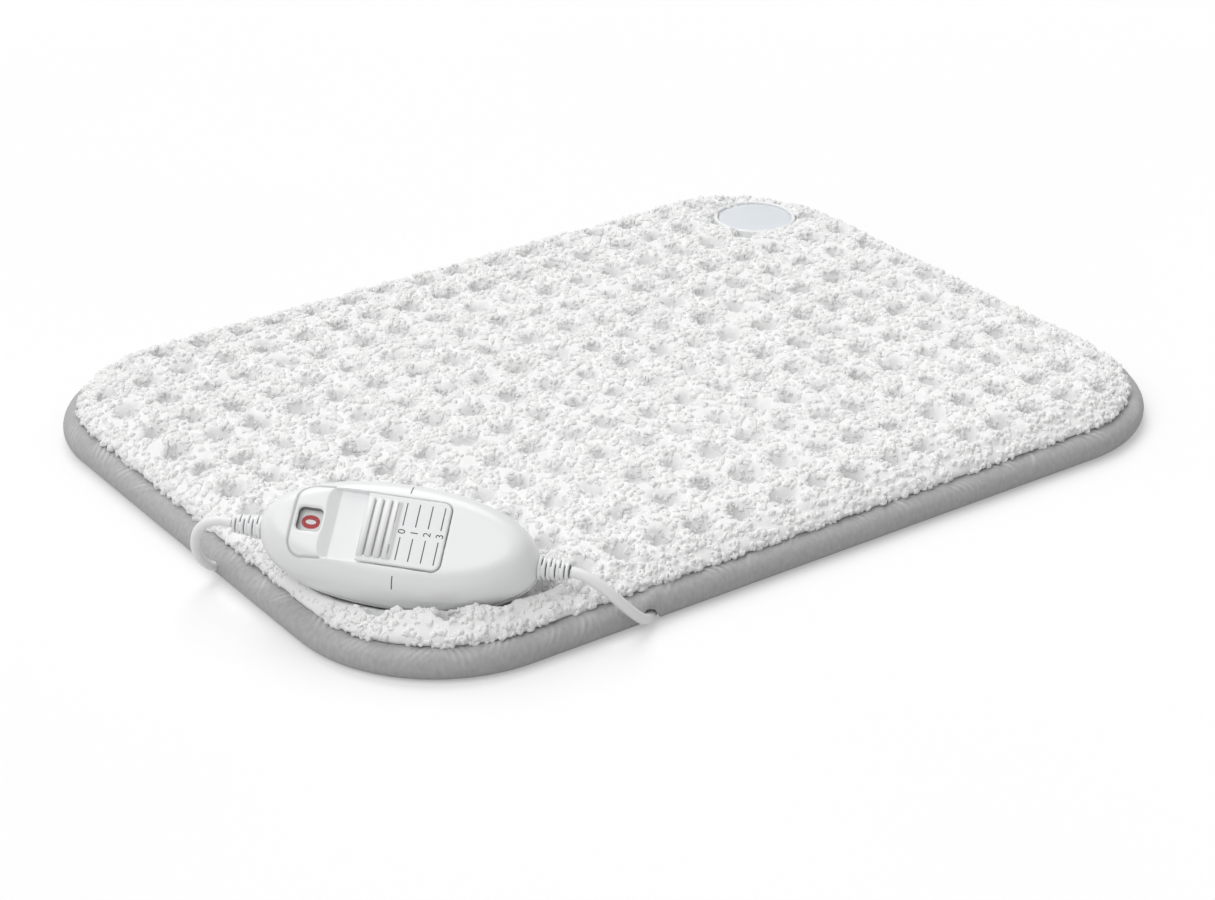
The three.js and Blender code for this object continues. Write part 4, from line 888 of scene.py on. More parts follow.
def eased_route(corners: list[Point], step: float, fineness: int = 24) -> Array:
    """Draw a smooth route through points.

    Args:
        corners: Points in millimetres.
        step: Spacing of the result.
        fineness: Points that the route is first drawn with from one corner to the next.

    Returns:
        Evenly spaced points.
    """
    p = np.array(corners, float)
    p = np.concatenate([[2 * p[0] - p[1]], p, [2 * p[-1] - p[-2]]])
    t = np.linspace(0, 1, fineness, endpoint=False)[:, None]
    pieces = []
    for a, b, c, d in zip(p, p[1:], p[2:], p[3:]):
        r0, r1, r2 = (math.sqrt(np.linalg.norm(v)) for v in (b - a, c - b, d - c))
        m0 = ((b - a) / r0 - (c - a) / (r0 + r1) + (c - b) / r1) * r1
        m1 = ((c - b) / r1 - (d - b) / (r1 + r2) + (d - c) / r2) * r1
        pieces.append(b + m0 * t + (3 * (c - b) - 2 * m0 - m1) * t**2 + (2 * (b - c) + m0 + m1) * t**3)
    dense = np.concatenate([*pieces, p[-2][None]])
    along = np.concatenate([[0], np.cumsum(np.linalg.norm(np.diff(dense, axis=0), axis=1))])
    even = np.linspace(0, along[-1], int(along[-1] / step) + 1)
    return np.stack([np.interp(even, along, dense[:, k]) for k in range(3)], -1)


@dataclass
class Leads:
    """The short lead to the pad and the mains lead, stowed in a coil under the pad."""

    finishes: Finishes
    pad_diameter: float = 4.0
    mains_diameter: float = 4.6
    coil_centre: tuple[float, float] = (-45.0, -45.0)
    coil_start_turn: float = -41.5
    turns_in: float = 4.3
    turns_climb: float = 0.5
    turns_total: float = 9.115
    inner_radius: float = 19.7
    pitch: float = 5.2
    low: float = 3.4
    high: float = 8.6
    coil_steps: int = 72
    step: float = 2.5
    fine_step: float = 0.6
    cover_level: float = 3.6
    cover_back: float = -95.0
    pad_corners: list[Point] = field(default_factory=lambda: [
        (-222.6, -51.6, 37.2), (-226.5, -47.5, 37.6), (-229.9, -43.8, 36.1), (-231.9, -40.4, 32.4),
        (-232.1, -37.3, 27.4), (-231.1, -34.4, 21.5), (-228.9, -31.9, 15.6), (-225.6, -30.0, 10.4),
        (-221.2, -28.6, 6.3), (-216.0, -27.5, 4.6), (-210.0, -27.0, 4.3), (-204.6, -27.0, 4.3),
    ])
    mains_corners: list[Point] = field(default_factory=lambda: [
        (-127.0, -153.5, 29.9), (-124.2, -156.8, 29.1), (-120.8, -161.0, 26.7), (-117.1, -164.8, 22.8),
        (-113.0, -167.2, 17.9), (-108.7, -168.3, 13.0), (-104.4, -168.2, 8.6), (-99.8, -166.5, 5.0),
        (-94.6, -162.6, 3.0), (-88.8, -157.0, 2.4), (-82.6, -150.2, 2.3), (-70.0, -136.1, 2.3),
        (-55.0, -119.3, 2.3), (-40.0, -102.5, 2.5), (-26.0, -86.8, 3.2), (-18.5, -78.5, 3.4), (-13.9, -73.3, 3.4),
    ])
    tail_corners: list[Point] = field(default_factory=lambda: [
        (-2.86, -44.7, 8.6), (-2.76, -38.7, 8.6), (-2.34, -29.7, 7.88), (-1.94, -21.7, 7.15), (-1.94, -15.3, 7.15),
    ])

    def coil(self) -> Array:
        """Points of the coil, wound inward below and outward above."""
        turns = np.linspace(0, self.turns_total, int(self.turns_total * self.coil_steps))
        climb = turns - self.turns_in
        swing = np.where(climb < self.turns_climb / 2, -climb, climb - self.turns_climb)
        radius = self.inner_radius + self.pitch * swing
        angle = np.radians(self.coil_start_turn + 360 * turns)
        rise = np.clip(climb / self.turns_climb, 0, 1)
        return np.stack([self.coil_centre[0] + radius * np.cos(angle), self.coil_centre[1] + radius * np.sin(angle),
                         mixed(self.low, self.high, rise)], -1)

    def under_pad(self) -> Array:
        """Points of the mains lead where the pad's edge and layers lie on it."""
        run = eased_route(self.mains_corners, self.fine_step)
        return run[(run[:, 2] < self.cover_level) & (run[:, 1] < self.cover_back)]

    def tube(self, name: str, points: Array, diameter: float) -> Piece:
        """Make a round lead along points.

        Args:
            name: Name of the piece.
            points: Centre line in millimetres.
            diameter: Diameter in millimetres.

        Returns:
            A curve object of one open spline.
        """
        curve = bpy.data.curves.new(name, "CURVE")
        curve.dimensions = "3D"
        curve.bevel_depth = diameter / 2 * MM
        curve.bevel_resolution = 5
        curve.use_fill_caps = True
        spline = curve.splines.new("POLY")
        spline.points.add(len(points) - 1)
        spline.points.foreach_set("co", np.c_[points * MM, np.ones(len(points))].astype(np.float32).ravel())
        spline.use_smooth = True
        curve.materials.append(self.finishes.sheath)
        return linked(name, curve)

    def build(self) -> None:
        """Make both leads."""
        pad, run, tail = (eased_route(corners, self.step)
                          for corners in (self.pad_corners, self.mains_corners, self.tail_corners))
        mains = np.concatenate([run, self.coil(), tail])
        plug = ["plug_boot", "plug_body", *numbered("plug_pin", 2), "coil_tie"]
        for name, points, wide, far, lay, nodes, held in (
            ("pad_lead_sheath", pad, self.pad_diameter, "object", "loose", ["pad_lead"], []),
            ("mains_lead_sheath", mains, self.mains_diameter, "plug", "coiled",
             ["mains_lead", "mains_lead_coil", "mains_lead_tail"], plug),
        ):
            lead = settle(self.tube(name, points, wide), Body.PAD, "lead_white", *nodes)


@dataclass(frozen=True)
class Lamp:
    """A wide sun lamp, with the direction to it and its apparent width in degrees."""

    name: str
    towards: Point
    strength: float
    angle: float

    def build(self) -> None:
        """Add the lamp."""
        data = bpy.data.lights.new(self.name, "SUN")
        data.energy = self.strength
        data.angle = math.radians(self.angle)
        linked(self.name, data).rotation_euler = Vector(self.towards).to_track_quat("Z", "Y").to_euler()


@dataclass
class Studio:
    """Camera, floor and soft light."""

    right: Point = (0.8138, -0.5811, 0.0)
    up: Point = (0.2634, 0.3688, 0.8913)
    back: Point = (-0.5180, -0.7254, 0.4532)
    target: Point = (-0.01917, -0.02742, 0.0)
    distance: float = 1.3211
    lens: float = 86.74
    sensor: float = 36.0
    sight: float = 30.0
    floor_radius: float = 6.0
    floor_sides: int = 96
    floor_sink: float = 0.0002
    floor_bounce: Colour = (0.66, 0.66, 0.66)
    floor_tones: tuple[Colour, Colour] = ((0.97, 0.97, 0.97), (0.985, 0.985, 0.985))
    white: tuple[float, float, float, float] = (1.0, 1.0, 1.0, 1.0)
    sky: float = 0.42
    glow: float = 0.34
    lamps: tuple[Lamp, Lamp] = (Lamp("key", (0.25, 0.62, 1.0), 1.10, 40.0),
                                Lamp("fill", (-0.62, -0.02, 0.90), 1.15, 50.0))

    def camera(self) -> None:
        """Put the camera where the photograph was taken."""
        data = bpy.data.cameras.new("camera")
        data.lens = self.lens
        data.sensor_width = self.sensor
        data.clip_end = self.sight
        camera = linked("camera", data)
        spot = Vector(self.target) + Vector(self.back) * self.distance
        axes = Matrix((self.right, self.up, self.back)).transposed().to_4x4()
        camera.matrix_world = Matrix.Translation(spot) @ axes
        bpy.context.scene.camera = camera

    def floor(self) -> None:
        """Lay a white floor that keeps the object's shadow and throws less light back than it shows."""
        angle = round_angles(self.floor_sides)
        ring = np.stack([np.cos(angle), np.sin(angle), 0 * angle], -1) * self.floor_radius / MM
        paint = Paint("studio_floor")
        rays = paint.node("ShaderNodeLightPath").outputs
        seen = paint.math("MAXIMUM", rays["Is Camera Ray"], rays["Is Glossy Ray"])
        seen = paint.math("MAXIMUM", seen, rays["Is Transmission Ray"])
        pale = paint.between(paint.noise(2.0), *self.floor_tones)
        paint.set(Base_Color=paint.blend(seen, self.floor_bounce, pale), Roughness=0.9, Specular_IOR_Level=0.0)
        white = paint.node("ShaderNodeEmission", {"Color": self.white, "Strength": 1.0})
        share = paint.math("MULTIPLY", seen, self.glow)
        both = paint.node("ShaderNodeMixShader", {0: share, 1: paint.shader.outputs[0], 2: white.outputs[0]})
        paint.tree.links.new(both.outputs[0], paint.tree.nodes["Material Output"].inputs["Surface"])
        floor = mesh_piece("studio_floor", ring, [range(self.floor_sides)], paint.material)
        floor.location.z = -self.floor_sink

    def light(self) -> None:
        """Set an even sky, a wide key from behind and as strong a fill from the left."""
        scene = bpy.context.scene
        scene.view_settings.view_transform = "Standard"
        world = bpy.data.worlds.new("studio_sky")
        world.use_nodes = True
        background = world.node_tree.nodes["Background"]
        background.inputs["Color"].default_value = self.white
        background.inputs["Strength"].default_value = self.sky
        scene.world = world
        for lamp in self.lamps:
            lamp.build()


def solid_tree(nodes: list[str]) -> BVHTree:
    """Gather CAD nodes for ray casts.

    Args:
        nodes: Names of the nodes.

    Returns:
        A tree of their triangles.
    """
    places, faces = [], []
    for name in nodes:
        mesh = frame["nodes"][name].data
        start = len(places)
        places.extend(v.co for v in mesh.vertices)
        faces.extend([start + i for i in p.vertices] for p in mesh.polygons)
    return BVHTree.FromPolygons(places, faces)


def least_around(values: Array) -> Array:
    """Least of the four neighbours of each place of a grid."""
    padded = np.pad(values, 1, mode="edge")
    return np.minimum.reduce([padded[:-2, 1:-1], padded[2:, 1:-1], padded[1:-1, :-2], padded[1:-1, 2:]])


@dataclass
class FleeceTop:
    """The fleece cover with its lattice of dimples and its tufts, in millimetres.

    Each ring of its edge has an offset outward, a share of the pile's height and a share of the edge's waves.
    """

    finishes: Finishes
    step: float = 1.4
    level: float = 22.5
    raised: float = 2.5
    thinnest: float = 1.2
    dimples: tuple[int, int] = (20, 13)
    dimple_depth: float = 8.5
    dimple_raised: float = 3.0
    dimple_reach: float = 8.2
    dimple_stray: float = 1.5
    clump: float = 5.4
    clump_height: float = 2.0
    fine_clump: float = 2.7
    fine_height: float = 0.9
    wide_wave: float = 34.0
    wide_height: float = 0.9
    edge_drop: tuple[tuple, tuple] = ((0, 1.5, 4, 8, 14), (4.6, 3.1, 1.5, 0.45, 0))
    edge_foot: float = 12.2
    edge_wave: float = 1.5
    edge_rings: tuple[Point, ...] = ((2.2, 0.86, 1.0), (4.2, 0.58, 1.0), (5.6, 0.30, 0.9), (5.2, 0.07, 0.6),
                                     (-0.2, 0.0, 0.0))
    edge_nap: tuple[float, float] = (1.05, 0.55)
    foot_draw: float = 0.7
    curl_length: float = 3.6
    curl_radius: float = 0.85
    curl_rise: float = 1.0
    curl_sides: int = 6
    tufts: float = 0.109
    tuft_sizes: tuple[float, float] = (0.7, 1.2)
    tuft_seeds: tuple[int, int, int] = (31, 32, 33)
    lean: float = 0.3
    press: float = 0.7
    matting: float = 0.8
    rest_slope: float = 0.42
    rest_passes: int = 16
    ray_start: float = 11.5
    badge: Point = (173.2, 111.1, 21.0)
    badge_drop: float = 1.7
    badge_ease: float = 5.0
    grain: Grain = field(default_factory=lambda: Grain(3))
    fine_grain: Grain = field(default_factory=lambda: Grain(8))

    def hollow(self, x: Array, y: Array) -> Array:
        """Share of a dimple at places, 0 between them and 1 in the middle of one."""
        half_x, half_y = FORM.pile_half
        nx, ny = self.dimples
        px, py = 2 * half_x / nx, 2 * half_y / ny
        rng = np.random.default_rng(21)
        shift = rng.uniform(-self.dimple_stray, self.dimple_stray, (nx, ny, 2))
        size = rng.uniform(0.82, 1.16, (nx, ny, 2))
        depth = rng.uniform(0.8, 1.0, (nx, ny))
        i = np.clip(((x + half_x) / px).astype(int), 0, nx - 1)
        j = np.clip(((y + half_y) / py).astype(int), 0, ny - 1)
        dx = x + half_x - (i + 0.5) * px - shift[i, j, 0]
        dy = y + half_y - (j + 0.5) * py - shift[i, j, 1]
        away = np.hypot(dx / size[i, j, 0], dy / size[i, j, 1]) / self.dimple_reach
        away = away + 0.3 * (self.grain.at(x + 300, y, 4.5) - 0.5)
        return depth[i, j] * (1 - smooth(0.22, 1.0, away))

    def height(self, x: Array, y: Array) -> tuple[Array, Array]:
        """Height of the pile and share of a dimple at places."""
        inside = FORM.depth(x, y) - FORM.pile_inset
        lift = smooth(0, 1, FORM.tuck(x, y))
        round_badge = np.hypot(x - self.badge[0], y - self.badge[1]) - self.badge[2]
        drop = np.interp(inside, *self.edge_drop) + self.badge_drop * np.exp(-((round_badge / self.badge_ease) ** 2))
        hollow = self.hollow(x, y) * smooth(0.5, 6, inside)
        clumps = self.clump_height * (self.grain.clumps(x, y, self.clump) - 0.62) * (1 - 0.55 * hollow)
        fine = self.fine_height * (self.fine_grain.clumps(x, y, self.fine_clump) - 0.6)
        wide = self.wide_height * (Grain(5).at(x, y, self.wide_wave) - 0.5)
        top = self.level + self.raised * lift - drop - (self.dimple_depth - self.dimple_raised * lift) * hollow
        return top + clumps + fine + wide, hollow

    def rests(self, x: Array, y: Array, nodes: list[str]) -> Array:
        """Height of the CAD nodes that lie on the pile over each place, or a large number."""
        tree = solid_tree(nodes)
        found = np.full(x.size, FAR)
        up = Vector((0, 0, 1))
        for k, (a, b) in enumerate(zip(x.ravel(), y.ravel())):
            hit = tree.ray_cast(Vector((a, b, self.ray_start)) * MM, up)
            if hit[0] is not None:
                found[k] = hit[0].z / MM
        return found.reshape(x.shape)

    def pressed(self, x: Array, y: Array) -> tuple[Array, Array, Array]:
        """Shape the top under what lies on it.

        Args:
            x: Places along the pad.
            y: Places across the pad.

        Returns:
            Height of the top, share of a dimple, and how far the pile stands up, 0 to 1.
        """
        top, hollow = self.height(x, y)
        above = self.rests(x, y, ["bottom_shell", "top_shell", "pad_lead_gland", "mains_lead_gland", "pad_lead",
                                  "mains_lead"])
        under_badge = self.rests(x, y, ["badge_rim", "badge_inlay"])
        close = above
        for _ in range(2):
            close = np.minimum(close, least_around(close))
        nap = smooth(0.8, 3.0, np.minimum(close, under_badge) - top) * (1 - 0.45 * hollow)
        eased = above
        for _ in range(self.rest_passes):
            eased = np.minimum(eased, least_around(eased) + self.rest_slope * self.step)
        matted = self.matting * (1 - self.fine_grain.clumps(x, y, self.fine_clump))
        top = np.minimum(top, np.minimum(eased - matted, under_badge) - self.press)
        return top, hollow, nap

    def cover(self) -> Piece:
        """Make the closed cover under the tufts."""
        x, y = FORM.grid(FORM.pile_inset, self.step)
        rows, columns = x.shape
        top, hollow, nap = self.pressed(x, y)
        foot = np.minimum(FORM.layer(Layer.PILE, 0, x, y), top - self.thinnest)
        border = grid_border(rows, columns)
        bx, by, edge, edge_nap = (values.ravel()[border] for values in (x, y, top, nap))
        out = FORM.outward(bx, by)
        rough = Grain(14).clumps(bx + by, bx - by, 4.5) - 0.6
        gain, least = self.edge_nap
        fringe = gain * np.maximum(edge_nap, least)
        places = [listed(x, y, top)]
        naps, shade_shares = [nap.ravel()], [hollow.ravel()]
        faces = grid_faces(rows, columns)
        upper, start = border, rows * columns
        for k, (offset, level, loose) in enumerate(self.edge_rings):
            wave = offset + self.edge_wave * loose * rough
            places.append(np.stack([bx + out[:, 0] * wave, by + out[:, 1] * wave,
                                    self.edge_foot + (edge - self.edge_foot) * level], -1))
            naps.append(fringe if level > 0 else 0 * fringe)
            # Painted shade that grows ring by ring down the edge.
            shade_shares.append(np.full(len(border), 0.1 * k))
            lower = np.arange(len(border)) + start
            faces += band_faces(upper, lower)
            upper, start = lower, start + len(border)
        half_x, half_y = FORM.pile_half
        places.append(listed(x * (1 - self.foot_draw / half_x), y * (1 - self.foot_draw / half_y), foot))
        faces += band_faces(upper, start + border) + grid_faces(rows, columns, start, True)
        naps, shade_shares = (np.concatenate([*values, np.zeros(rows * columns)]) for values in (naps, shade_shares))
        piece = mesh_piece("fleece_cover", np.concatenate(places), faces, self.finishes.fleece)
        note(piece, "nap", naps)
        # Painted shade in the dimples and down the edge, one number for each vertex.
        note(piece, "hollow", np.clip(shade_shares, 0, 1))
        note(piece, "strand", np.full(len(naps), 0.6))
        return piece

    def curls(self, seed: int) -> Piece:
        """Make one tuft of two curls that cross, each a bent round worm.

        Args:
            seed: Number that sets its shape.

        Returns:
            The tuft, sunk a little below the origin.
        """
        rng = np.random.default_rng(seed)
        sides = self.curl_sides
        angle = round_angles(sides)
        places, faces = [], []
        for turn in (rng.uniform(0, 1), rng.uniform(1.4, 2.2)):
            half, thick = self.curl_length / 2 * rng.uniform(0.8, 1.2), self.curl_radius * rng.uniform(0.85, 1.15)
            bend, rise, aside = rng.uniform(-1.2, 1.2), self.curl_rise * rng.uniform(0.7, 1.3), rng.uniform(-0.7, 0.7)
            first = len(places)
            for t, share in ((-1.0, 0.0), (-0.62, 0.85), (0.0, 1.0), (0.62, 0.85), (1.0, 0.0)):
                x, y, z = t * half, aside + bend * (t * t - 0.3), rise * (1 - t * t) - 0.5
                for a in angle if share else angle[:1]:
                    v, w = y + share * thick * np.cos(a), z + share * thick * np.sin(a)
                    places.append((x * np.cos(turn) - v * np.sin(turn), x * np.sin(turn) + v * np.cos(turn), w))
            rings = [first + 1 + sides * ring for ring in range(4)]
            for k in range(sides):
                n = (k + 1) % sides
                faces.append([first, rings[0] + n, rings[0] + k])
                faces += [[a + k, a + n, b + n, b + k] for a, b in zip(rings, rings[1:3])]
                faces.append([rings[2] + k, rings[2] + n, rings[3]])
        return mesh_piece(f"tuft_{seed}", np.array(places), faces, self.finishes.fleece)

    def tuft_tree(self, names: list[str]) -> Repeat:
        """Make a tree that sets tufts on a surface, as dense and as large as its nap says.

        Args:
            names: Inputs for the tufts to pick from.

        Returns:
            The tree, with inputs Density, Lean and Material besides the tufts.
        """
        repeat = Repeat("fleece_tufts")
        for name in names:
            repeat.ask(name, "NodeSocketObject")
        repeat.ask("Density", "NodeSocketFloat")
        repeat.ask("Lean", "NodeSocketFloat")
        repeat.ask("Material", "NodeSocketMaterial")
        nap = repeat.read("nap", "FLOAT")
        spread = repeat.node("GeometryNodeDistributePointsOnFaces", {
            "Mesh": repeat.given("Geometry"), "Density": repeat.math("MULTIPLY", nap, repeat.given("Density")),
            "Seed": 5})
        group = repeat.node("GeometryNodeJoinGeometry")
        for name in names:
            repeat.tree.links.new(repeat.shape(name), group.inputs[0])
        lean = repeat.node("ShaderNodeCombineXYZ", {0: repeat.given("Lean"), 1: repeat.given("Lean"), 2: 1.0})
        tilt = repeat.node("ShaderNodeVectorMath", {
            0: repeat.random("FLOAT_VECTOR", (-1, -1, -3.14), (1, 1, 3.14), 9), 1: lean.outputs[0]},
            operation="MULTIPLY").outputs[0]
        turn = repeat.node("FunctionNodeRotateRotation", {
            0: spread.outputs["Rotation"], 1: repeat.node("FunctionNodeEulerToRotation", {0: tilt}).outputs[0]},
            rotation_space="LOCAL")
        put = repeat.node("GeometryNodeInstanceOnPoints", {
            "Points": spread.outputs["Points"], "Instance": group.outputs[0], "Pick Instance": True,
            "Instance Index": repeat.random("INT", 0, len(names) - 1, 3), "Rotation": turn.outputs[0],
            "Scale": repeat.math("MULTIPLY", repeat.random("FLOAT", *self.tuft_sizes, 4), nap)})
        marked = repeat.node("GeometryNodeStoreNamedAttribute", {
            "Geometry": put.outputs[0], "Name": "strand", "Value": repeat.random("FLOAT", 0.0, 1.0, 6)},
            domain="INSTANCE", data_type="FLOAT")
        repeat.finish(marked.outputs[0], repeat.given("Geometry"))
        return repeat

    def build(self) -> None:
        cover = self.cover()
        tufts = {f"Tuft {seed}": self.curls(seed) for seed in self.tuft_seeds}
        self.tuft_tree(list(tufts)).bake(cover, {
            **tufts, "Density": self.tufts / MM**2, "Lean": self.lean, "Material": self.finishes.fleece})
        for shape in tufts.values():
            bpy.data.objects.remove(shape)
        settle(cover, Body.PAD, "fleece", "plush_cover")


@dataclass
class PadLayer:
    """A flat layer inside or under the pad."""

    name: str
    layer: Layer
    node: str
    slot: str
    material: Material
    inset: float
    step: float = 5.0
    unevenness: float = 0.12
    stack: float = 11.2
    padded: bool = False

    def build(self, lead: Array) -> None:
        """Args:
            lead: Points of the mains lead that run under the pad.
        """
        x, y = FORM.grid(self.inset, self.step)
        base = FORM.layer(Layer.BACKING, 0, x, y)
        lift = np.maximum(over_lead(x, y, lead) - base, 0)
        foot, top = (FORM.layer(self.layer, side, x, y) for side in (0, 1))
        share = np.clip((FORM.layer(Layer.PILE, 0, x, y) - foot) / self.stack, 0, 1)
        waves = self.unevenness * (Grain(30).at(x, y, 9.0) - 0.5)
        levels = (top + lift * share + waves, foot + lift * share)
        places = np.concatenate([listed(x, y, z) for z in levels])
        layer = mesh_piece(self.name, places, slab_faces(*x.shape), self.material)
        piece = settle(layer, Body.PAD, self.slot, self.node)


def over_lead(x: Array, y: Array, lead: Array, diameter: float = 4.6, run: float = 9.0, clearance: float = 0.35,
              hug: float = 0.2) -> Array:
    """Height at which cloth clears the mains lead that runs under it.

    Args:
        x: Places along the pad.
        y: Places across the pad.
        lead: Points of the lead.
        diameter: Diameter of the lead.
        run: Distance over which the cloth comes down again.
        clearance: Gap between the lead and the cloth.
        hug: How far inside that gap the cloth starts to come down.

    Returns:
        Heights, 0 away from the lead.
    """
    reach = diameter / 2 + clearance
    near = np.full(x.shape, FAR)
    level = np.zeros(x.shape)
    for px, py, pz in lead:
        away = np.hypot(x - px, y - py)
        closer = away < near
        near = np.where(closer, away, near)
        level = np.where(closer, pz, level)
    top = level + np.sqrt(np.clip(reach**2 - near**2, 0, None))
    return top * (1 - smooth(reach - hug, run, near))


@dataclass
class EdgeBinding:
    """The grey tape round the pad's edge, with its bunches of small wrinkles."""

    finishes: Finishes
    stations: int = 1600
    cloth: float = 0.8
    wrinkle: float = 0.7
    section_points: int = 40
    height: float = 12.0
    flatten: float = 0.86
    lead_run: float = 3.9
    stitch_inset: float = 10.6
    stitch_pitch: float = 3.4
    stitch_half: float = 1.15
    stitch_sides: int = 6
    contour: list[tuple[float, float]] = field(default_factory=lambda: [
        (13.0, 11.9), (11.0, 12.1), (9.0, 12.1), (7.0, 11.95), (5.2, 11.6), (3.7, 11.0), (2.4, 10.1), (1.3, 8.9),
        (0.55, 7.5), (0.15, 6.0), (0.1, 4.6), (0.4, 3.2), (1.1, 1.9), (2.2, 0.9), (3.8, 0.3), (6.0, 0.05),
        (9.0, 0.0), (13.0, 0.0),
    ])

    def wrinkles(self, along: Array, across: Array, total: float) -> Array:
        """Height of the wrinkles.

        Args:
            along: Distance along the tape.
            across: Share of the way over the tape, 0 at its top edge.
            total: Length round the pad.

        Returns:
            Heights in millimetres.
        """
        rng = np.random.default_rng(17)
        found = np.zeros(np.broadcast(along, across).shape)
        at = 4.0
        while at < total - 10:
            wide, pitch = rng.uniform(3.0, 8.0), rng.uniform(2.8, 4.2)
            slant, middle = rng.choice([-1.0, 1.0]) * rng.uniform(12.0, 30.0), rng.uniform(0.16, 0.36)
            bend = along - at + slant * (across - middle) + 60.0 * (across - middle) ** 2
            near = np.exp(-((bend / wide) ** 2) - ((across - middle) / rng.uniform(0.07, 0.13)) ** 2)
            found += near * (0.5 + 0.5 * np.cos(2 * np.pi * bend / pitch)) ** 2 * rng.uniform(0.5, 1.2)
            at += rng.uniform(14.0, 44.0)
        return self.wrinkle * found * smooth(0.02, 0.1, across) * (1 - smooth(0.6, 0.75, across))

    def build(self, lead: Array) -> None:
        """Make the tape and its row of stitches.

        Args:
            lead: Points of the mains lead that run under the tape.
        """
        spots, out, along = FORM.outline(self.stations)
        outer = np.array(self.contour)
        reach = np.concatenate([[0], np.cumsum(np.linalg.norm(np.diff(outer, axis=0), axis=1))])
        fine = np.linspace(0, reach[-1], self.section_points)
        outer = np.stack([np.interp(fine, reach, outer[:, 0]), np.interp(fine, reach, outer[:, 1])], -1)
        run = np.gradient(outer, axis=0)
        run /= np.linalg.norm(run, axis=1, keepdims=True)
        normal = np.stack([run[:, 1], -run[:, 0]], -1)
        inner = (outer - normal * self.cloth)[::3][::-1]
        total = along[-1] + along[1]
        bulge = self.wrinkles(along[:, None], (fine / fine[-1])[None, :], total)
        sway = 0.35 * (Grain(41).at(along[:, None] + 0 * fine, 0 * along[:, None] + fine, 16.0) - 0.5)
        push = bulge + sway * smooth(0.0, 0.2, fine / fine[-1]) * (1 - smooth(0.55, 0.7, fine / fine[-1]))
        section = outer[None] + normal[None] * push[..., None]
        section = np.concatenate([section, np.repeat(inner[None], len(along), 0)], 1)
        x = spots[:, None, 0] - out[:, None, 0] * section[..., 0]
        y = spots[:, None, 1] - out[:, None, 1] * section[..., 0]
        lift = over_lead(x, y, lead, run=self.lead_run)
        z = np.maximum(section[..., 1], 0.0) * (1 - self.flatten * lift / self.height) + lift
        count = section.shape[1]
        places = listed(x, y, z)
        j, i = np.meshgrid(np.arange(len(along)), np.arange(count), indexing="ij")
        a, b = j * count + i, j * count + (i + 1) % count
        c, d = (j + 1) % len(along) * count + (i + 1) % count, (j + 1) % len(along) * count + i
        faces = np.stack([a, b, c, d], -1).reshape(-1, 4)
        tape = mesh_piece("edge_tape", places, faces.tolist(), self.finishes.binding)
        across = np.concatenate([fine, np.linspace(fine[-1], 0, len(inner))]) * MM
        layer = tape.data.uv_layers.new(name="cloth")
        corner_u = np.stack([along[j], along[j], along[j] + along[1], along[j] + along[1]], -1) * MM
        corner_v = np.stack([across[i], across[(i + 1) % count], across[(i + 1) % count], across[i]], -1)
        layer.data.foreach_set("uv", np.stack([corner_u, corner_v], -1).astype(np.float32).ravel())
        # Painted highlight on the crests of the wrinkles, one number for each vertex.
        note(tape, "ridge", np.pad(np.clip(bulge / self.wrinkle, 0, 1), ((0, 0), (0, len(inner)))))
        settle(tape, Body.PAD, "binding", "edge_binding")
        upper = outer[:self.section_points // 2, 0]
        self.stitches(x, y, z, out, int(np.argmin(np.abs(upper - self.stitch_inset))), along)

    def stitches(self, x: Array, y: Array, z: Array, out: Array, column: int, along: Array) -> None:
        """Sew a row of stitches along the tape.

        Args:
            x: Places of the tape's vertices along the pad.
            y: Places across the pad.
            z: Their heights.
            out: Directions outward at each station.
            column: Which vertex of the section the row runs on.
            along: Distance along the tape.
        """
        total = along[-1] + along[1]
        at = np.arange(0, total - 1, self.stitch_pitch)
        places = np.stack([np.interp(at, along, v[:, column]) for v in (x, y, z)], -1) + np.array([0, 0, 0.05])
        heading = np.interp(at, along, np.unwrap(np.arctan2(out[:, 1], out[:, 0]))) + np.pi / 2
        turns = np.stack([0 * heading, 0 * heading, heading], -1)
        angle = round_angles(self.stitch_sides)
        half = self.stitch_half
        rings = []
        for spot, r in ((-half, 0.08), (-0.8, 0.22), (0.0, 0.26), (0.8, 0.22), (half, 0.08)):
            rise = 0.16 - 0.22 * (spot / half) ** 2
            rings.append(np.stack([0 * angle + spot, r * np.cos(angle), r * np.sin(angle) + rise], -1))
        faces = turned_over(tube_faces(len(rings), self.stitch_sides))
        shape = mesh_piece("stitch", np.concatenate(rings), faces, self.finishes.thread)
        seam = repeated("edge_stitches", shape, places, turns, np.ones((len(at), 3)), self.finishes.thread)
        settle(seam, Body.PAD, "binding")


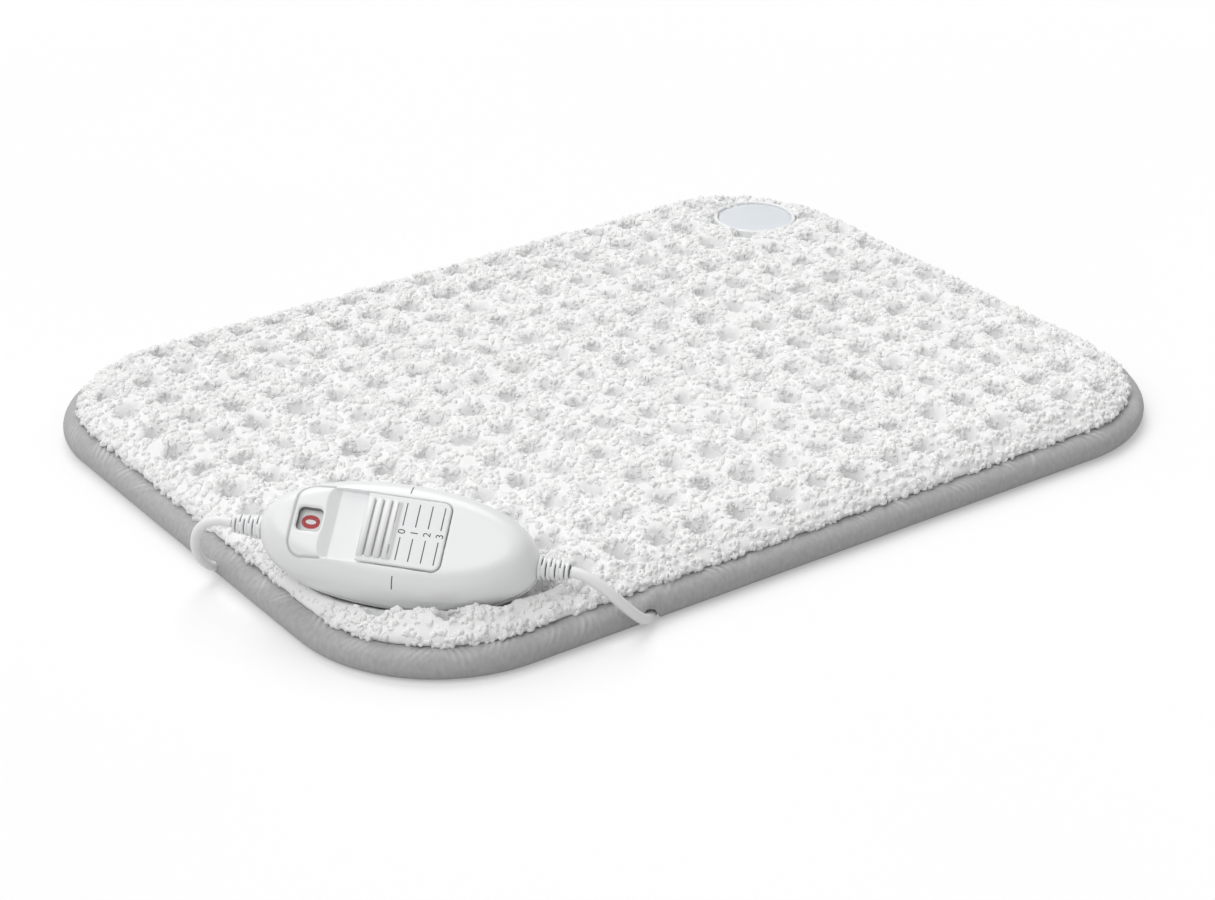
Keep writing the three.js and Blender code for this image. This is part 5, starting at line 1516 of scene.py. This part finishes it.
@dataclass
class Badge:
    """The round badge on the far corner, with a bare inlay."""

    finishes: Finishes
    x: float = 173.2
    y: float = 111.1
    foot: float = 16.5
    sides: int = 120
    radius: float = 21.0
    rim_inner: float = 18.95
    rim_crown: float = 19.95
    inlay_radius: float = 18.65

    def turned(self, name: str, profile: list[tuple[float, float]], material: Material) -> Piece:
        """Turn a profile about the badge's axis.

        Args:
            name: Name of the piece.
            profile: Radius and height of each point, from the top's middle round to the foot's middle.
            material: Finish.

        Returns:
            A closed round piece.
        """
        angle = round_angles(self.sides)
        rings = [np.stack([self.x + r * np.cos(angle), self.y + r * np.sin(angle), 0 * angle + z], -1)
                 for r, z in profile]
        faces = tube_faces(len(rings), self.sides, closed=profile[0][0] > 1)
        return mesh_piece(name, np.concatenate(rings), faces, material)

    def build(self) -> None:
        """Make the rim and the inlay."""
        arc = np.radians(np.arange(0, 181, 12))
        crown = [(self.rim_crown - math.cos(a), 20.6 + 0.9 * math.sin(a)) for a in arc]
        rim = self.turned("badge_ring", [
            (self.rim_inner, 18.4), *crown, (self.radius, 19.0), (self.radius, 16.8), (20.8, self.foot),
            (self.rim_inner, self.foot),
        ], self.finishes.casing)
        settle(rim, Body.PAD, "casing_white", "badge_rim")
        dome = [(r, 20.9 - 0.5 * (r / 18.6) ** 2) for r in (0.3, 2, 4, 6, 8, 10, 12, 14, 16, 17.4, 18.3)]
        inlay = self.turned("badge_face", [
            *dome, (self.inlay_radius, 20.1), (self.inlay_radius, self.foot), (0.3, self.foot),
        ], self.finishes.badge)
        settle(inlay, Body.PAD, "badge_blue", "badge_inlay")


@dataclass
class Controller:
    """The pebble casing with its window, sliding switch and strain reliefs."""

    finishes: Finishes
    half_length: float = 57.5
    half_width: float = 25.5
    roundness: float = 2.1
    parting: float = -3.0
    gap: float = 0.15
    face: float = 15.0
    foot: float = -15.0
    shoulder: float = 13.0
    crown_run: float = 13.0
    end_draw: float = 1.0
    wall: float = 2.2
    ceiling: float = 11.0
    window: tuple[float, float, float] = (-34.8, 5.0, 5.1)
    well: tuple[float, float, float] = (-29.4, 21.2, 15.0)
    well_floor: float = 12.6
    well_radius: float = 3.6
    window_radius: float = 2.2
    window_dish: float = 0.8
    window_dish_run: float = 0.55
    ramp_run: float = 4.6
    panel_radius: float = 6.0
    groove_depth: float = 0.9
    groove_width: float = 0.42
    face_grid: tuple[int, int] = (141, 271)
    face_edge: float = 3.2
    tray_sides: int = 320
    panel: tuple[float, float, float] = (-41.6, 21.8, 15.4)
    cap: tuple[float, float, float] = (-13.3, 20.9, 14.6)
    cap_levels: tuple[float, float] = (12.9, 15.4)
    cap_radius: float = 3.4
    cap_fillet: float = 0.5
    ribs: int = 4
    rib_pitch: float = 3.45
    rib_width: float = 2.7
    rib_start: float = -13.0
    rib_rise: float = 0.7
    rib_bed: float = 0.6
    scale_start: float = 3.0
    scale_pitch: float = 5.15
    scale_gap: float = 2.5
    settings: int = 4
    print_rise: float = 0.03
    mark_length: float = 4.0
    mark_half: float = 0.22
    mark_points: int = 14
    gland_level: float = -1.2
    gland_end: float = 69.5
    relief_rings: int = 6
    relief_sides: int = 40
    relief_taper: float = 0.77
    relief_lead: float = 0.7
    relief_bore: float = 2.4
    relief_radius: float = 4.75
    bridge_span: float = 33.0
    place: Matrix = field(default_factory=lambda: Matrix.Translation((-175.2, -103.1, 34.5)) @ (
        Matrix.Rotation(math.radians(-46.8), 4, "Z") @ Matrix.Rotation(math.radians(3.0), 4, "Y")
        @ Matrix.Rotation(math.radians(38.0), 4, "X")))

    def world(self, local: Array) -> Array:
        """Bring points of the casing's frame into the part's frame, in millimetres."""
        turn = np.array(self.place)
        return np.asarray(local) @ turn[:3, :3].T + turn[:3, 3]

    def inset_at(self, x: Array, y: Array) -> Array:
        """How far inside the casing's outline a place lies."""
        low, high = np.zeros(np.shape(x)), np.full(np.shape(x), self.half_width - 0.01)
        for _ in range(32):
            middle = (low + high) / 2
            size = (np.abs(x) / (self.half_length - self.end_draw * middle)) ** self.roundness
            size = size + (np.abs(y) / (self.half_width - middle)) ** self.roundness
            low, high = np.where(size < 1, middle, low), np.where(size < 1, high, middle)
        return low

    def dome(self, x: Array, y: Array) -> Array:
        """Height of the casing's plain upper surface."""
        return self.crown(self.inset_at(x, y))

    def crown(self, inset: Array) -> Array:
        """Height of the casing's upper surface by how far inside its outline it lies."""
        share = np.clip(1 - inset / self.crown_run, 0, 1)
        return self.parting + (self.face - self.parting) * np.sqrt(1 - share**2.6)

    def groove(self, x: Array, y: Array) -> Array:
        """Share of the fine groove that frames the window's panel."""
        line = self.rounded(x, y, self.panel, self.panel_radius)
        return np.exp(-((line / self.groove_width) ** 2)) * (x < self.well[0] + 2.0)

    @staticmethod
    def rounded(x: Array, y: Array, box: tuple[float, float, float], radius: float) -> Array:
        """Distance outside a rounded box of given ends and half width."""
        centre, half = (box[0] + box[1]) / 2, (box[1] - box[0]) / 2
        dx, dy = np.abs(x - centre) - half + radius, np.abs(y) - box[2] + radius
        return np.hypot(np.maximum(dx, 0), np.maximum(dy, 0)) + np.minimum(np.maximum(dx, dy), 0) - radius

    def surface(self, x: Array, y: Array) -> Array:
        """Height of the casing's upper surface with its panel, window rim and well."""
        top = self.dome(x, y) - self.groove_depth * self.groove(x, y)
        centre, half_x, half_y = self.window
        rim = self.rounded(x - centre, y, (-half_x, half_x, half_y), self.window_radius)
        top = top - self.window_dish * np.exp(-np.clip(rim, 0, None) / self.window_dish_run)
        slope = np.clip((self.well[0] + self.ramp_run - x) / self.ramp_run, 0, 1)
        floor = self.well_floor + (self.face - self.well_floor) * slope
        inside = self.rounded(x, y, self.well, self.well_radius)
        return np.minimum(top, mixed(floor, top, smooth(-0.12, 0.28, inside)))

    def outline(self, directions: Array, inset: float, z: float, draw: float = 1.0) -> Array:
        """A ring of the casing at an inset, more of it at the ends by the draw, and a height."""
        return np.stack([(self.half_length - draw * inset) * directions[:, 0],
                         (self.half_width - inset) * directions[:, 1], np.full(len(directions), z)], -1)

    def directions(self, u: Array, v: Array) -> Array:
        """Bring a square of -1 to 1 onto the casing's outline shape."""
        px, py = u * np.sqrt(1 - v * v / 2), v * np.sqrt(1 - u * u / 2)
        angle, away = np.arctan2(py, px), np.hypot(px, py)
        reach = (np.abs(np.cos(angle)) ** self.roundness + np.abs(np.sin(angle)) ** self.roundness)
        stretch = 1 + (reach ** (-1 / self.roundness) - 1) * away**2
        return np.stack([px * stretch, py * stretch], -1)

    def top_shell(self) -> None:
        """Make the upper half of the casing with its openings."""
        (rows, columns), edge = self.face_grid, self.face_edge
        u, v = np.meshgrid(np.linspace(-1, 1, columns), np.linspace(-1, 1, rows))
        square = self.directions(u, v)
        x = (self.half_length - self.end_draw * edge) * square[..., 0]
        y = (self.half_width - edge) * square[..., 1]
        border = grid_border(rows, columns)
        round_about = square.reshape(-1, 2)[border]
        places = [listed(x, y, self.surface(x, y))]
        faces = grid_faces(rows, columns)
        upper, start = border, rows * columns
        rings = []
        for share in np.linspace(1, 0, 17)[1:] ** 1.6:
            rings.append((edge * share, max(float(self.crown(edge * share)), self.parting + self.gap)))
        rings.append((0.5, self.parting + self.gap))
        for turn in np.radians([1.0, 20, 40, 60, 75, 90]):
            level = self.parting + (self.ceiling - self.parting) * math.sin(turn)
            rings.append((self.wall + self.shoulder * (1 - math.cos(turn)), max(level, self.parting + self.gap)))
        for inset, level in rings:
            places.append(self.outline(round_about, inset, level, self.end_draw))
            lower = np.arange(len(border)) + start
            faces += band_faces(upper, lower)
            upper, start = lower, start + len(border)
        faces.append(upper[::-1].tolist())
        shell = mesh_piece("casing_top", self.world(np.concatenate(places)), faces, self.finishes.casing)
        # Painted shade in the groove round the window's panel.
        note(shell, "line", np.concatenate([self.groove(x, y).ravel(), np.zeros(len(places[1]) * len(rings))]))
        # The cut gives the window's walls painted shade.
        cut(shell, self.window_cutter())
        settle(shell, Body.PAD, "casing_white", "top_shell")

    def window_cutter(self) -> Piece:
        """A rounded block that opens the window through the casing's face and leaves its dark grey on the window's
        walls as painted shade.
        """
        centre, half_x, half_y = self.window
        sides, radius = 64, self.window_radius
        angle = round_angles(sides)
        c, s = np.cos(angle), np.sin(angle)
        ring = np.stack([centre + np.sign(c) * (half_x - radius) + radius * c,
                         np.sign(s) * (half_y - radius) + radius * s], -1)
        places = np.concatenate([np.c_[ring, np.full(sides, level)] for level in (20.0, 9.0)])
        return mesh_piece("window_cutter", self.world(places), tube_faces(2, sides), self.finishes.relief)

    def bottom_shell(self) -> None:
        """Make the lower half of the casing."""
        angle = round_angles(self.tray_sides)
        c, s = np.cos(angle), np.sin(angle)
        power = 2 / self.roundness
        round_about = np.stack([np.sign(c) * np.abs(c) ** power, np.sign(s) * np.abs(s) ** power], -1)
        rings = []
        for turn in np.radians([90, 80, 70, 60, 50, 40, 20, 2]):
            level = self.parting - (self.parting - self.foot - self.wall) * math.sin(turn)
            rings.append((self.wall + self.shoulder * (1 - math.cos(turn)), min(level, self.parting - self.gap)))
        rings.append((0.4, self.parting - self.gap))
        for turn in np.radians([2, 8, 16, 24, 32, 40, 48, 56, 64, 72, 80, 86, 90]):
            level = self.parting - (self.parting - self.foot) * math.sin(turn)
            rings.append((self.shoulder * (1 - math.cos(turn)), min(level, self.parting - self.gap)))
        places = np.concatenate([self.outline(round_about, *ring) for ring in rings])
        faces = tube_faces(len(rings), self.tray_sides)
        shell = mesh_piece("casing_bottom", self.world(places), faces, self.finishes.casing)
        settle(shell, Body.PAD, "casing_white", "bottom_shell")

    def slider(self) -> None:
        """Make the sliding cap with its grip ribs, scale lines and numbers."""
        x0, x1, half = self.cap
        low, high = self.cap_levels
        radius, fillet = self.cap_radius, self.cap_fillet
        rows = np.concatenate([-half + radius * (1 - np.cos(np.linspace(0, np.pi / 2, 12))),
                               np.linspace(-half + radius, half - radius, 40)[1:-1],
                               half - radius * (1 - np.cos(np.linspace(np.pi / 2, 0, 12)))])
        bend = np.clip(np.abs(rows) - (half - radius), 0, radius)
        end = x1 - radius + np.sqrt(np.clip(radius**2 - bend**2, 0, None))
        share = np.concatenate([[0, 0.006, 0.014, 0.024], np.linspace(0.04, 0.96, 60), [0.976, 0.986, 0.994, 1.0]])
        x = x0 + (end[:, None] - x0) * share[None, :]
        y = np.repeat(rows[:, None], len(share), 1)
        inside = -self.rounded(x, y, (x0 - 4.0, x1, half), radius)
        inside = np.minimum(inside, x - x0)
        drop = fillet - np.sqrt(np.clip(fillet**2 - (fillet - np.clip(inside, 0, fillet)) ** 2, 0, None))
        past = x - self.rib_start
        bed = smooth(0.8, 1.4, past) * (1 - smooth(11.2, 11.8, past))
        bed = bed * (1 - smooth(half - 3.0, half - 2.5, np.abs(y)))
        step = np.clip((14.15 - past) / 1.0, 0, 1) * smooth(11.6, 12.2, past)
        step = step * (1 - smooth(half - 2.5, half - 2.0, np.abs(y)))
        top = high - drop - self.rib_bed * bed + self.rib_rise * step
        foot_x = np.maximum(x, x0 + self.ramp_run - 0.3)
        places = np.concatenate([listed(x, y, top), listed(foot_x, y, np.full(x.shape, low))])
        cap = mesh_piece("slider_plate", self.world(places), slab_faces(*x.shape), self.finishes.knob)
        # Painted shade in the bed between the grip ribs and on the step down to the scale.
        note(cap, "line", np.concatenate([(0.66 * bed + 0.3 * (step > 0) * (past > 12.8)).ravel(), np.zeros(x.size)]))
        settle(cap, Body.SLIDER, "casing_white", "slider_cap")
        self.slider_ribs()
        self.scale()

    def bar(self, name: str, length: float, width: float, height: float, material: Material,
            round_off: float = 0.35) -> Piece:
        """A rounded bar along the casing's y axis, standing on its own origin.

        Args:
            name: Name of the shape.
            length: Length along y.
            width: Width along x.
            height: Height.
            material: Finish.
            round_off: How far its top is drawn in.

        Returns:
            The bar, in the casing's own directions.
        """
        rings = []
        for z, draw in ((height, round_off), (height * 0.85, round_off * 0.4), (height * 0.55, 0.04), (0.0, 0.0)):
            a, b = width / 2 - draw, length / 2 - draw
            rings.append(np.array([[-a, -b, z], [a, -b, z], [a, b, z], [-a, b, z]]))
        return mesh_piece(name, np.concatenate(rings), tube_faces(len(rings), 4), material)

    def along_casing(self, name: str, shape: Piece, spots: Array, sizes: Array, material: Material,
                     spins: list[float] | None = None) -> Piece:
        """Repeat a shape at spots of the casing's frame.

        Args:
            name: Name of the piece.
            shape: Shape to repeat, in the casing's own directions.
            spots: Places in the casing's frame.
            sizes: Scale at each spot.
            material: Finish.
            spins: Degrees by which each is turned about the casing's length.

        Returns:
            The piece.
        """
        turn = self.place.to_3x3()
        turns = [(turn @ Matrix.Rotation(math.radians(spin), 3, "X")).to_euler()
                 for spin in spins or [0.0] * len(spots)]
        return repeated(name, shape, self.world(spots), np.array(turns), sizes, material)

    def slider_ribs(self) -> None:
        """Set the grip ribs on the cap."""
        length = 2 * self.cap[2] - 4.0
        shape = self.bar("rib", length, self.rib_width, self.rib_rise + self.rib_bed, self.finishes.knob, 0.16)
        level = self.cap_levels[1] - self.rib_bed
        spots = [(self.rib_start + self.rib_width / 2 + k * self.rib_pitch, 0.0, level) for k in range(self.ribs)]
        ribs = self.along_casing("slider_ribs", shape, spots, np.ones((self.ribs, 3)), self.finishes.knob)
        settle(ribs, Body.SLIDER, "casing_white")

    def scale(self) -> None:
        """Print the scale's broken lines and its numbers on the cap."""
        top, gap = self.cap_levels[1], self.scale_gap
        length = self.cap[2] - 2.2 - gap
        along = [self.scale_start + k * self.scale_pitch for k in range(self.settings)]
        shape = self.bar("scale_line", length, 0.42, self.print_rise, self.finishes.ink, 0.0)
        spots = [(x, side * (gap + length / 2), top) for x in along for side in (-1, 1)]
        lines = self.along_casing("scale_lines", shape, spots, np.ones((len(spots), 3)), self.finishes.ink)
        settle(lines, Body.SLIDER, "casing_white")
        for k, x in enumerate(along):
            number = self.figure(f"scale_{k}", str(k), 3.0, (x, 0.0, top + 0.02), self.finishes.ink)
            settle(number, Body.SLIDER, "casing_white")

    def figure(self, name: str, text: str, height: float, spot: Point, material: Material,
               weight: float = 0.0, wide: float = 1.0) -> Piece:
        """Set a flat figure on the casing, its head towards the window's end.

        Args:
            name: Name of the piece.
            text: Figure to write.
            height: Height of the figure.
            spot: Middle of the figure in the casing's frame.
            material: Finish.
            weight: How far its strokes are thickened.
            wide: How much wider it is than the plain letter form.

        Returns:
            The figure as a mesh.
        """
        words = bpy.data.curves.new(name, "FONT")
        words.body = text
        words.align_x, words.align_y = "CENTER", "CENTER"
        words.size = 1.0
        words.offset = weight
        words.extrude = 0.004
        carrier = linked(name, words)
        mesh = evaluated(carrier)
        bpy.data.objects.remove(carrier)
        flat = np.array([v.co for v in mesh.vertices])
        flat[:, :2] -= (flat[:, :2].min(0) + flat[:, :2].max(0)) / 2
        size = height / np.ptp(flat[:, 1])
        flat[:, :2] *= np.array([size * wide, size])
        turned = np.stack([-flat[:, 1], flat[:, 0], flat[:, 2]], -1) + np.array(spot)
        mesh.vertices.foreach_set("co", (self.world(turned) * MM).astype(np.float32).ravel())
        mesh.materials.clear()
        mesh.materials.append(material)
        mesh.update()
        return linked(name, mesh)

    def marks(self) -> None:
        """Print the index marks beside the scale, and the figure behind the window."""
        for name, side, first in (("index_mark_back", 1.0, 17.0), ("index_mark_front", -1.0, 18.6)):
            along = np.linspace(first, first + self.mark_length, self.mark_points) * side
            edge = np.array([-self.mark_half, self.mark_half])
            y, x = np.meshgrid(along, self.scale_start + edge, indexing="ij")
            spots = listed(x, y, self.dome(x, y) + self.print_rise)
            faces = grid_faces(*x.shape, turned=side < 0)
            settle(mesh_piece(name, self.world(spots), faces, self.finishes.ink), Body.PAD, "casing_white")
        spot = (self.window[0], 0.0, 11.56)
        figure = self.figure("window_figure", "0", 7.4, spot, self.finishes.red, 0.035, 1.2)
        settle(figure, Body.PAD, "inner_white")

    @property
    def relief_start(self) -> float:
        """Where a strain relief starts, inside the casing's end."""
        return self.half_length - 0.6

    @property
    def relief_step(self) -> float:
        """Spacing of a strain relief's rings."""
        return (self.gland_end - self.relief_start - 1.6) / self.relief_rings

    def down_relief(self, end: int, at: Array) -> tuple[Array, Array]:
        """Find spots along a strain relief.

        Args:
            end: 1 for the mains end, -1 for the pad end.
            at: Numbers of rings, and halves for the middle of the gaps between them.

        Returns:
            Spots in the casing's frame, and sizes that taper along the relief.
        """
        grow = mixed(1.0, self.relief_taper, at / self.relief_rings)
        along = end * (self.relief_start + self.relief_lead + at * self.relief_step)
        return listed(along, 0 * along, 0 * along + self.gland_level), listed(1 + 0 * grow, grow, grow)

    def strain_relief(self, end: int, name: str, node: str) -> None:
        """Make a slotted strain relief of rings and staggered bridges, round a dark grey core that paints the shade in
        its slots.

        Args:
            end: 1 for the mains end, -1 for the pad end.
            name: Name of the piece.
            node: CAD node that it stands for.
        """
        start, finish, sides = self.relief_start, self.gland_end, self.relief_sides
        angle = round_angles(sides)
        core = [listed(end * (0 * angle + x), r * np.cos(angle), r * np.sin(angle) + self.gland_level)
                for x, r in ((start, 3.1), (finish, 2.7), (finish, 2.2), (start, 2.2))]
        faces = tube_faces(len(core), sides, closed=True)
        # Painted shade: the dark grey core stands for the shade seen through the slots.
        body = mesh_piece(name + "_core", self.world(np.concatenate(core)),
                          turned_over(faces) if end > 0 else faces, self.finishes.relief)
        settle(body, Body.PAD, "casing_white")
        bore, radius = self.relief_bore, self.relief_radius
        profile = [(-0.62, bore), (-0.62, radius), (-0.42, 5.0), (0.42, 5.0), (0.62, radius), (0.62, bore)]
        loops = [listed(0 * angle + a, b * np.cos(angle), b * np.sin(angle)) for a, b in profile]
        faces = turned_over(tube_faces(len(loops), sides, closed=True))
        ring = mesh_piece("ring", np.concatenate(loops), faces, self.finishes.casing)
        spots, sizes = self.down_relief(end, np.arange(self.relief_rings + 1))
        sleeve = self.along_casing(name + "_rings", ring, spots, sizes, self.finishes.casing)
        settle(sleeve, Body.PAD, "casing_white", node)
        self.bridges(end, name)

    def bridges(self, end: int, name: str) -> None:
        """Join the rings of a strain relief by staggered pairs of bridges.

        Args:
            end: 1 for the mains end, -1 for the pad end.
            name: Name of the strain relief.
        """
        arc = np.radians(np.linspace(-self.bridge_span, self.bridge_span, 7))
        half, bore, radius = self.relief_step / 2, self.relief_bore, self.relief_radius
        section = ((-half, bore), (-half, radius), (half, radius), (half, bore))
        places = np.array([(x, r * np.sin(turn), r * np.cos(turn)) for turn in arc for x, r in section])
        faces = turned_over(tube_faces(len(arc), len(section)))
        bridge = mesh_piece("bridge", places, faces, self.finishes.casing)
        spots, sizes = self.down_relief(end, np.repeat(np.arange(self.relief_rings) + 0.5, 2))
        spins = [side + 90.0 * (k % 2) + 45.0 for k in range(self.relief_rings) for side in (0, 180)]
        joined = self.along_casing(name + "_bridges", bridge, spots, sizes, self.finishes.casing, spins)
        settle(joined, Body.PAD, "casing_white")

    def build(self) -> None:
        """Make all of the controller."""
        self.top_shell()
        self.bottom_shell()
        self.slider()
        self.marks()
        self.strain_relief(-1, "pad_relief", "pad_lead_gland")
        self.strain_relief(1, "mains_relief", "mains_lead_gland")


def main() -> None:
    """Build the pad, its leads and its controller in the studio."""
    logging.basicConfig(level=logging.INFO, format="%(name)s: %(message)s")
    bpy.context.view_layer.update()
    studio = Studio()
    studio.camera()
    finishes = Finishes()
    finishes.dress(frame["nodes"])
    leads = Leads(finishes)
    leads.build()
    under = leads.under_pad()
    FleeceTop(finishes).build()
    for layer in (
        PadLayer("lower_wadding", Layer.LOWER_FELT, "lower_felt", "wadding", finishes.felt, 16.0, padded=True),
        PadLayer("upper_wadding", Layer.UPPER_FELT, "upper_felt", "wadding", finishes.felt, 16.0, padded=True),
        PadLayer("wire_carrier", Layer.CARRIER, "heater_carrier", "carrier_cloth", finishes.carrier, 16.0),
        PadLayer("pad_backing", Layer.BACKING, "backing_cloth", "backing", finishes.backing, 8.0),
    ):
        layer.build(under)
    EdgeBinding(finishes).build(under)
    Badge(finishes).build()
    Controller(finishes).build()
    studio.floor()
    studio.light()


if __name__ == "__main__":
    main()
